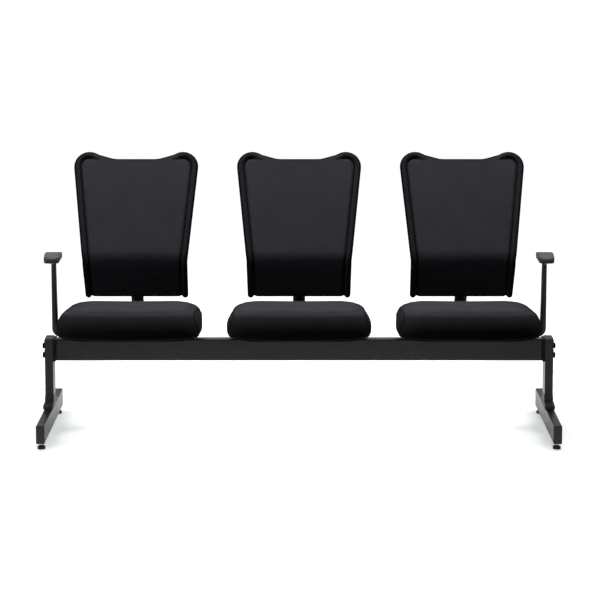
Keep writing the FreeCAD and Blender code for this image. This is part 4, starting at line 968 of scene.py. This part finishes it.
@dataclass
class BackSleeve:
    """A knitted sleeve over the two side tubes of a back.

    The flat cut is drawn with x across and y along the back, measured from the bend. It is then
    laid over the back's middle surface, half a thickness before it and half behind it.

    Attributes:
        setback: beam centre to the bend of the back.
        bend_height: floor to the bend.
        bend_radius: radius of the bend.
        recline: upper back, degrees from the vertical.
        undercut: lower back, degrees from the vertical.
        lower: bend to the hem.
        hem_half: side tube to the middle, at the hem.
        bend_half: side tube to the middle, at the bend.
        corner: corner of the side tube's line, across and along.
        tip: the side tube's upper end, across and along.
        sag: flat middle of the top edge, half length and distance along.
        ear: radius of the ear, on the tube's centre line.
        pocket: outer radius of the cloth round a tube.
        panel: half thickness between the tubes.
        groove_front: half thickness beside a tube, before the middle surface.
        groove_rear: half thickness beside a tube, behind the middle surface.
        crossbar: bend to the crossbar, which the groove clears.
        binding: width of the edge binding.
        seam: outline to the seam beside a tube.
        lip: width of the rounded top edge.
        wall: thickness of the cloth.
        rings: distances from the outline at which the cut is ringed, in millimetres.
        trim: extra length below the hem, which is cut off.
    """

    setback: float = 162.65 * MM
    bend_height: float = 586 * MM
    bend_radius: float = 70 * MM
    recline: float = 22.0
    undercut: float = 38.0
    lower: float = 181 * MM
    hem_half: float = 178.8 * MM
    bend_half: float = 180.8 * MM
    corner: tuple[float, float] = (225.2 * MM, 434 * MM)
    tip: tuple[float, float] = (142 * MM, 394 * MM)
    sag: tuple[float, float] = (80 * MM, 388 * MM)
    ear: float = 45 * MM
    pocket: float = 11.5 * MM
    panel: float = 7 * MM
    groove_front: float = 2.4 * MM
    groove_rear: float = 6 * MM
    crossbar: float = 230 * MM
    binding: float = 7.5 * MM
    seam: float = 24.5 * MM
    lip: float = 9 * MM
    wall: float = 1.2 * MM
    rings: tuple[float, ...] = (0.4, 1.4, 3.1, 5.4, 8.3, 11.5, 14.6, 17.2, 19.2, 20.6, 21.8, 22.8,
                                23.8, 24.8, 26.0, 27.5, 29.5, 32.5, 37.0, 44.0)
    trim: float = 70 * MM
    border: list[tuple[Vector, Vector]] = field(default_factory=list, init=False)

    def outline(self) -> list[Corner]:
        """Corners of the flat cut, anticlockwise, with its lower edge still too long."""
        low = Vector((self.bend_half - self.hem_half, self.lower)).normalized()
        side = (Vector(self.corner) - Vector((self.bend_half, 0))).normalized()
        top = (Vector(self.tip) - Vector(self.corner)).normalized()
        grow = self.pocket * math.tan(side.angle(top) / 2)
        ear = Vector(self.corner) + Vector((side.y, -side.x)) * self.pocket + side * grow
        end = Vector(self.tip) + Vector((top.y, -top.x)) * self.pocket
        foot = self.hem_half + self.pocket - low.x * self.trim
        right = [
            Corner(foot, -self.lower - self.trim, 0.0),
            Corner(self.bend_half + self.pocket, 0.0, 0.0),
            Corner(ear.x, ear.y, self.ear + self.pocket),
            Corner(end.x, end.y, 12 * MM),
            Corner(self.sag[0], self.sag[1], 110 * MM),
        ]
        return right + [Corner(-corner.x, corner.y, corner.radius) for corner in right[::-1]]

    def cut(self) -> BMesh:
        """One layer of the flat cut, ringed along its outline and gridded in between."""
        mesh = bmesh.new()
        rounded_outline(mesh, self.outline(), 12, 4)
        self.border = [(edge.verts[0].co.copy(), edge.verts[1].co.copy()) for edge in mesh.edges
                       if min(end.co.y for end in edge.verts) > -self.lower - self.trim + MM
                       or abs(edge.verts[0].co.y - edge.verts[1].co.y) > 5 * MM]
        made = bmesh.ops.contextual_create(mesh, geom=mesh.edges[:])
        done = 0.0
        for distance in self.rings:
            bmesh.ops.inset_region(mesh, faces=made["faces"], thickness=distance * MM - done,
                                   use_even_offset=True, use_boundary=True)
            done = distance * MM
        for height in self.levels():
            slice_mesh(mesh, Vector((0, height, 0)), Y_AXIS)
        for step in range(-14, 15):
            slice_mesh(mesh, Vector((step * 12 * MM, 0, 0)), X_AXIS)
        bmesh.ops.bisect_plane(mesh, geom=all_parts(mesh), plane_co=(0, -self.lower, 0),
                               plane_no=(0, -1, 0), clear_outer=True)
        return mesh

    def levels(self) -> Iterable[float]:
        """Distances along the back at which the cut is sliced, closer at the bend."""
        yield from (-self.lower + step * MM for step in (1.5, 4, 9, 10, 18))
        yield from ((-155 + 10 * step) * MM for step in range(11))
        yield from ((-45 + 5 * step) * MM for step in range(19))
        yield from ((56 + 12 * step) * MM for step in range(32))

    def from_border(self, point: Vector) -> float:
        """Distance of a point of the flat cut from its outline, the hem left out."""
        nearest = 1.0
        for start, end in self.border:
            run = end - start
            share = min(1.0, max(0.0, (point - start).dot(run) / run.length_squared))
            nearest = min(nearest, (point - start - run * share).length)
        return nearest

    def on_tube(self, point: Vector) -> bool:
        """Whether a point near the outline lies beside a tube and not at the open top edge."""
        return abs(point.x) > self.tip[0] - 4 * MM

    def beside_tube(self, point: Vector) -> float:
        """1 along a tube, falling to 0 where its end comes close to the top edge."""
        if point.y < self.sag[1] - 40 * MM:
            return 1.0
        return smoothstep(abs(point.x), self.tip[0] + 2 * MM, self.tip[0] + 34 * MM)

    def middle_surface(self, along: float) -> tuple[Vector, Vector]:
        """Place and rearward normal of the middle surface at a distance along the back."""
        up = math.radians(self.recline)
        down = math.radians(self.undercut)
        half_turn = (up + down) / 2
        reach = self.bend_radius * math.tan(half_turn)
        rising = Vector((0, math.sin(up), math.cos(up)))
        lean = up
        place = rising * along
        if along <= -reach:
            lean = -down
            place = Vector((0, math.sin(down), -math.cos(down))) * -along
        elif along < reach:
            lean = (up - down) / 2 + along / reach * half_turn
            centre = rising * reach + Vector((0, math.cos(up), -math.sin(up))) * self.bend_radius
            place = centre - Vector((0, math.cos(lean), -math.sin(lean))) * self.bend_radius
        place += Vector((0, BEAM_Y + self.setback, self.bend_height))
        return place, Vector((0, math.cos(lean), -math.sin(lean)))

    def thickness(self, point: Vector, off: float, rear: bool) -> float:
        """Half thickness of the sleeve at a point of the flat cut.

        Args:
            point: the point of the flat cut.
            off: its distance from the outline.
            rear: whether it is for the layer behind the middle surface.

        Returns:
            The distance from the middle surface to the cloth's outer face.
        """
        groove = self.groove_rear if rear else self.groove_front
        near_bar = 1 - smoothstep(abs(point.y - self.crossbar), 4 * MM, 22 * MM)
        groove = max(groove, (self.groove_rear - 0.6 * MM) * near_bar)
        inside = smoothstep(off, self.seam + 0.5 * MM, self.seam + 11 * MM)
        inside = max(inside, 1 - self.beside_tube(point))
        flat = groove + (self.panel - groove) * inside
        edge = min(1.0, off / self.lip)
        flat *= math.sqrt(max(0.0, 1 - (1 - edge) ** 2))
        if not self.on_tube(point):
            return flat
        over = (off - self.pocket) / self.pocket
        return max(flat, self.pocket * math.sqrt(max(0.0, 1 - over * over)))

    def binding_and_shade(self, point: Vector, off: float) -> float:
        """How dark a point of the flat cut is: edge binding, hem, seam, and painted shade in and
        beside the groove by a tube.
        """
        rim = 1 - smoothstep(off, self.binding - 1.5 * MM, self.binding + 1.5 * MM)
        if not self.on_tube(point):
            rim *= 0.7
        hem = 1 - smoothstep(point.y + self.lower, 5 * MM, 7 * MM)
        beside = self.beside_tube(point)
        # Painted shade: a dark line in the groove at the seam beside a tube.
        seam = 0.9 * (1 - smoothstep(abs(off - self.seam), 1.5 * MM, 5 * MM))
        # Painted shade: the tube pocket darker, fading out into the panel where it dips towards the
        # groove.
        ridge = 0.5 * (1 - smoothstep(off, self.seam, self.seam + 12 * MM))
        return max(rim, hem, beside * max(seam, ridge))

    def lay(self, mesh: BMesh, offset: float) -> None:
        """Lays the flat cut over one back, front and rear, and closes it along the outline.

        Args:
            mesh: the flat cut, which is changed.
            offset: seat's place along the beam.
        """
        layer = mesh.loops.layers.uv.new(CLOTH_MAP)
        for face in mesh.faces:
            for loop in face.loops:
                loop[layer].uv = loop.vert.co.xy
        off = mesh.verts.layers.float.new("off")
        seam = mesh.verts.layers.float.new(SEAM_AND_SHADE_MASK)
        for vertex in mesh.verts:
            vertex[off] = self.from_border(vertex.co)
            # The mask holds the bindings and seams, and painted shade beside the tubes.
            vertex[seam] = self.binding_and_shade(vertex.co, vertex[off])
        copied = bmesh.ops.duplicate(mesh, geom=all_parts(mesh))
        behind = {part for part in copied["geom"] if isinstance(part, BMVert)}
        bmesh.ops.reverse_faces(
            mesh, faces=[part for part in copied["geom"] if isinstance(part, BMFace)])
        rim = [vertex for vertex in mesh.verts if vertex[off] < 0.02 * MM]
        for vertex in mesh.verts:
            rear = vertex in behind
            half = self.thickness(vertex.co, vertex[off], rear)
            place, normal = self.middle_surface(vertex.co.y)
            place.x = vertex.co.x + offset
            vertex.co = place + normal * (half if rear else -half)
        bmesh.ops.remove_doubles(mesh, verts=rim, dist=1e-5)

    def build(self, finish: Material) -> None:
        """Makes the three sleeves."""
        cut = self.cut()
        for seat, index in SEATS:
            mesh = cut.copy()
            self.lay(mesh, index * SEAT_PITCH)
            bmesh.ops.recalc_face_normals(mesh, faces=mesh.faces)
            area = sum(face.calc_area() for face in mesh.faces)
            piece = make_piece(f"sleeve_cover_{seat}", mesh, finish)
            walls = piece.modifiers.new("wall", "SOLIDIFY")
            walls.thickness = self.wall
            walls.offset = -1
            bake_modifiers(piece)
            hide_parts(f"sleeve_{seat}")
            LOG.info("%s: %d faces, cloth %.4f m2", piece.name, len(piece.data.polygons), area)
        cut.free()


# Arms


@dataclass
class ArmPads:
    """Soft arm pads with rounded edges.

    Attributes:
        voxel: size of the faces.
        passes: rounds of smoothing, which round the edges.
    """

    voxel: float = 2.5 * MM
    passes: int = 8

    def build(self, finish: Material) -> None:
        """Makes both pads."""
        for side, _ in SIDES:
            mesh = soft_copy(f"arm_pad_{side}", self.voxel, self.passes)
            piece = make_piece(f"arm_pad_cover_{side}", mesh, finish)
            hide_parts(f"arm_pad_{side}")
            LOG.info("%s: %d faces", piece.name, len(piece.data.polygons))


# Steelwork and small parts


@dataclass
class Hardware:
    """The frame's steel, plastic and wooden pieces, which keep their shape and get a finish."""

    def build(self, finishes: dict[Slot, Material]) -> None:
        """Dresses every shown node of the frame."""
        for name, node in sorted(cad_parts.items()):
            slot = Slot(node.data.materials[0].name)
            node.data.materials[0] = finishes[slot]
            LOG.debug("%s dressed in %s", name, slot.value)


# Studio


class Softbox(NamedTuple):
    """A lamp with the point that it faces, its width and height, and its power in watts."""

    name: str
    place: tuple[float, float, float]
    aim: tuple[float, float, float]
    size: tuple[float, float]
    power: float


@dataclass
class Studio:
    """Camera, pale floor and soft light.

    Attributes:
        distance: camera to the beam's line.
        height: camera above the floor.
        tilt: degrees that the camera looks down.
        lens: focal length on a 36 mm wide sensor, in millimetres.
        shift: sideways and upward shift of the lens.
        feet_shade_glow: how the floor's glow changes with the distance from the middle: from, to,
            the glow before and the glow beyond; it dims in a band round the feet, painted shade
            that lets the shadow show there only.
        outer_glow: the same, outside the feet.
        far_glow: the same, by the distance all round.
        mirrored: the same, as shiny pieces mirror the floor.
        surround: how bright shiny pieces mirror the surround.
        fill: how much soft light the surround gives.
        lamps: the softboxes.
    """

    distance: float = 8.59371
    height: float = 1.88995
    tilt: float = 7.9658
    lens: float = 145.553
    shift: tuple[float, float] = (0.00158, -0.1)
    feet_shade_glow: tuple[float, ...] = (0.74, 0.86, 1.0, 0.54)
    outer_glow: tuple[float, ...] = (0.92, 1.02, 0.0, 1.0)
    far_glow: tuple[float, ...] = (1.2, 1.9, 0.0, 1.0)
    mirrored: tuple[float, ...] = (0.9, 1.8, 0.55, 0.24)
    surround: float = 0.36
    fill: float = 0.06
    lamps: tuple[Softbox, ...] = (
        Softbox("overhead", (0, 0.04, 2.75), (0, 0.04, 0.4), (4.6, 0.9), 104),
        Softbox("left", (-3.4, -1.4, 1.3), (0, 0, 0.5), (1.4, 1.6), 27),
        Softbox("right", (3.6, -0.6, 1.2), (0, 0, 0.5), (1.2, 1.4), 1.5),
        Softbox("rear", (0, 2.6, 2.4), (0, 0.2, 0.6), (3.0, 0.8), 12),
    )

    def build(self) -> None:
        """Sets up the whole studio."""
        scene = bpy.context.scene
        scene.view_settings.view_transform = "Standard"
        self.add_camera(scene)
        self.add_floor(scene)
        self.add_world(scene)
        for lamp in self.lamps:
            self.add_lamp(lamp)

    def add_camera(self, scene: Scene) -> None:
        """Places the camera."""
        data = bpy.data.cameras.new("camera")
        data.sensor_width = 36
        data.lens = self.lens
        data.shift_x, data.shift_y = self.shift
        data.clip_start = 0.1
        data.clip_end = 100
        camera = bpy.data.objects.new("camera", data)
        camera.location = (0, BEAM_Y - self.distance, self.height)
        camera.rotation_euler = (math.radians(90 - self.tilt), 0, 0)
        scene.collection.objects.link(camera)
        scene.camera = camera

    def add_floor(self, scene: Scene) -> None:
        """Lays a pale floor that shows white, with the object's soft shadow; its glow dims in a
        band round the feet as painted shade, so the shadow shows there.
        """
        mesh = bmesh.new()
        bmesh.ops.create_grid(mesh, x_segments=1, y_segments=1, size=20)
        data = bpy.data.meshes.new("floor")
        mesh.to_mesh(data)
        mesh.free()
        material, graph = new_material("floor")
        path = graph.add("LightPath")
        place = graph.object_place()
        reach = graph.add("VectorMath", {0: place}, operation="LENGTH").outputs["Value"]
        aside = graph.math("ABSOLUTE", graph.part(place, 0))
        # Painted shade: the glow dips in a band round the feet, so that the shadow shows only
        # there.
        near = graph.math("MAXIMUM", graph.span(aside, *self.feet_shade_glow),
                          graph.span(aside, *self.outer_glow))
        glow = graph.math("MAXIMUM", graph.span(reach, *self.far_glow), near)
        tone = graph.mix(path.outputs["Is Diffuse Ray"], rgba((0.8, 0.8, 0.8)),
                         rgba((0.06, 0.06, 0.06)))
        paint = graph.add("BsdfDiffuse", {"Color": tone})
        light = graph.add("Emission", {"Color": rgba((0.95, 0.98, 1.0)), "Strength": glow})
        both = graph.add("AddShader", {0: paint.outputs[0], 1: light.outputs[0]})
        seen = graph.math("MULTIPLY_ADD", path.outputs["Is Glossy Ray"],
                          graph.span(reach, *self.mirrored), path.outputs["Is Camera Ray"])
        shown = graph.add("MixShader", {0: seen, 1: paint.outputs[0], 2: both.outputs[0]})
        graph.add("OutputMaterial", {"Surface": shown.outputs[0]})
        data.materials.append(material)
        floor = bpy.data.objects.new("floor", data)
        scene.collection.objects.link(floor)

    def add_world(self, scene: Scene) -> None:
        """A white surround that adds only a little soft light."""
        world = bpy.data.worlds.new("surround")
        world.use_nodes = True
        graph = Graph(world.node_tree)
        path = graph.add("LightPath")
        seen = graph.math("MAXIMUM", path.outputs["Is Camera Ray"],
                          path.outputs["Is Transmission Ray"])
        soft = graph.math("MULTIPLY", path.outputs["Is Glossy Ray"], self.surround)
        strength = graph.math("MAXIMUM", graph.math("MAXIMUM", seen, soft), self.fill)
        light = graph.add("Background", {"Color": rgba((1, 1, 1)), "Strength": strength})
        graph.add("OutputWorld", {"Surface": light.outputs[0]})
        scene.world = world

    def add_lamp(self, lamp: Softbox) -> None:
        """Adds one softbox."""
        data = bpy.data.lights.new(lamp.name, "AREA")
        data.shape = "RECTANGLE"
        data.size, data.size_y = lamp.size
        data.energy = lamp.power
        piece = bpy.data.objects.new(lamp.name, data)
        piece.location = lamp.place
        direction = Vector(lamp.aim) - Vector(lamp.place)
        piece.rotation_euler = direction.to_track_quat("-Z", "Y").to_euler()
        bpy.context.scene.collection.objects.link(piece)


def main() -> None:
    """Builds the seating piece by piece, then its studio."""
    logging.basicConfig(level=logging.INFO, format="%(name)s: %(message)s")
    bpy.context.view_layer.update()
    effects = Effects()
    finishes = {slot: finish.build(effects) for slot, finish in FINISHES.items()}
    Hardware().build(finishes)
    Cushions().build(finishes[Slot.SEAT])
    TurnedEdge().build(finishes)
    BackSleeve().build(finishes[Slot.BACK])
    ArmPads().build(finishes[Slot.PAD])
    Studio().build()


if __name__ == "__main__":
    main()
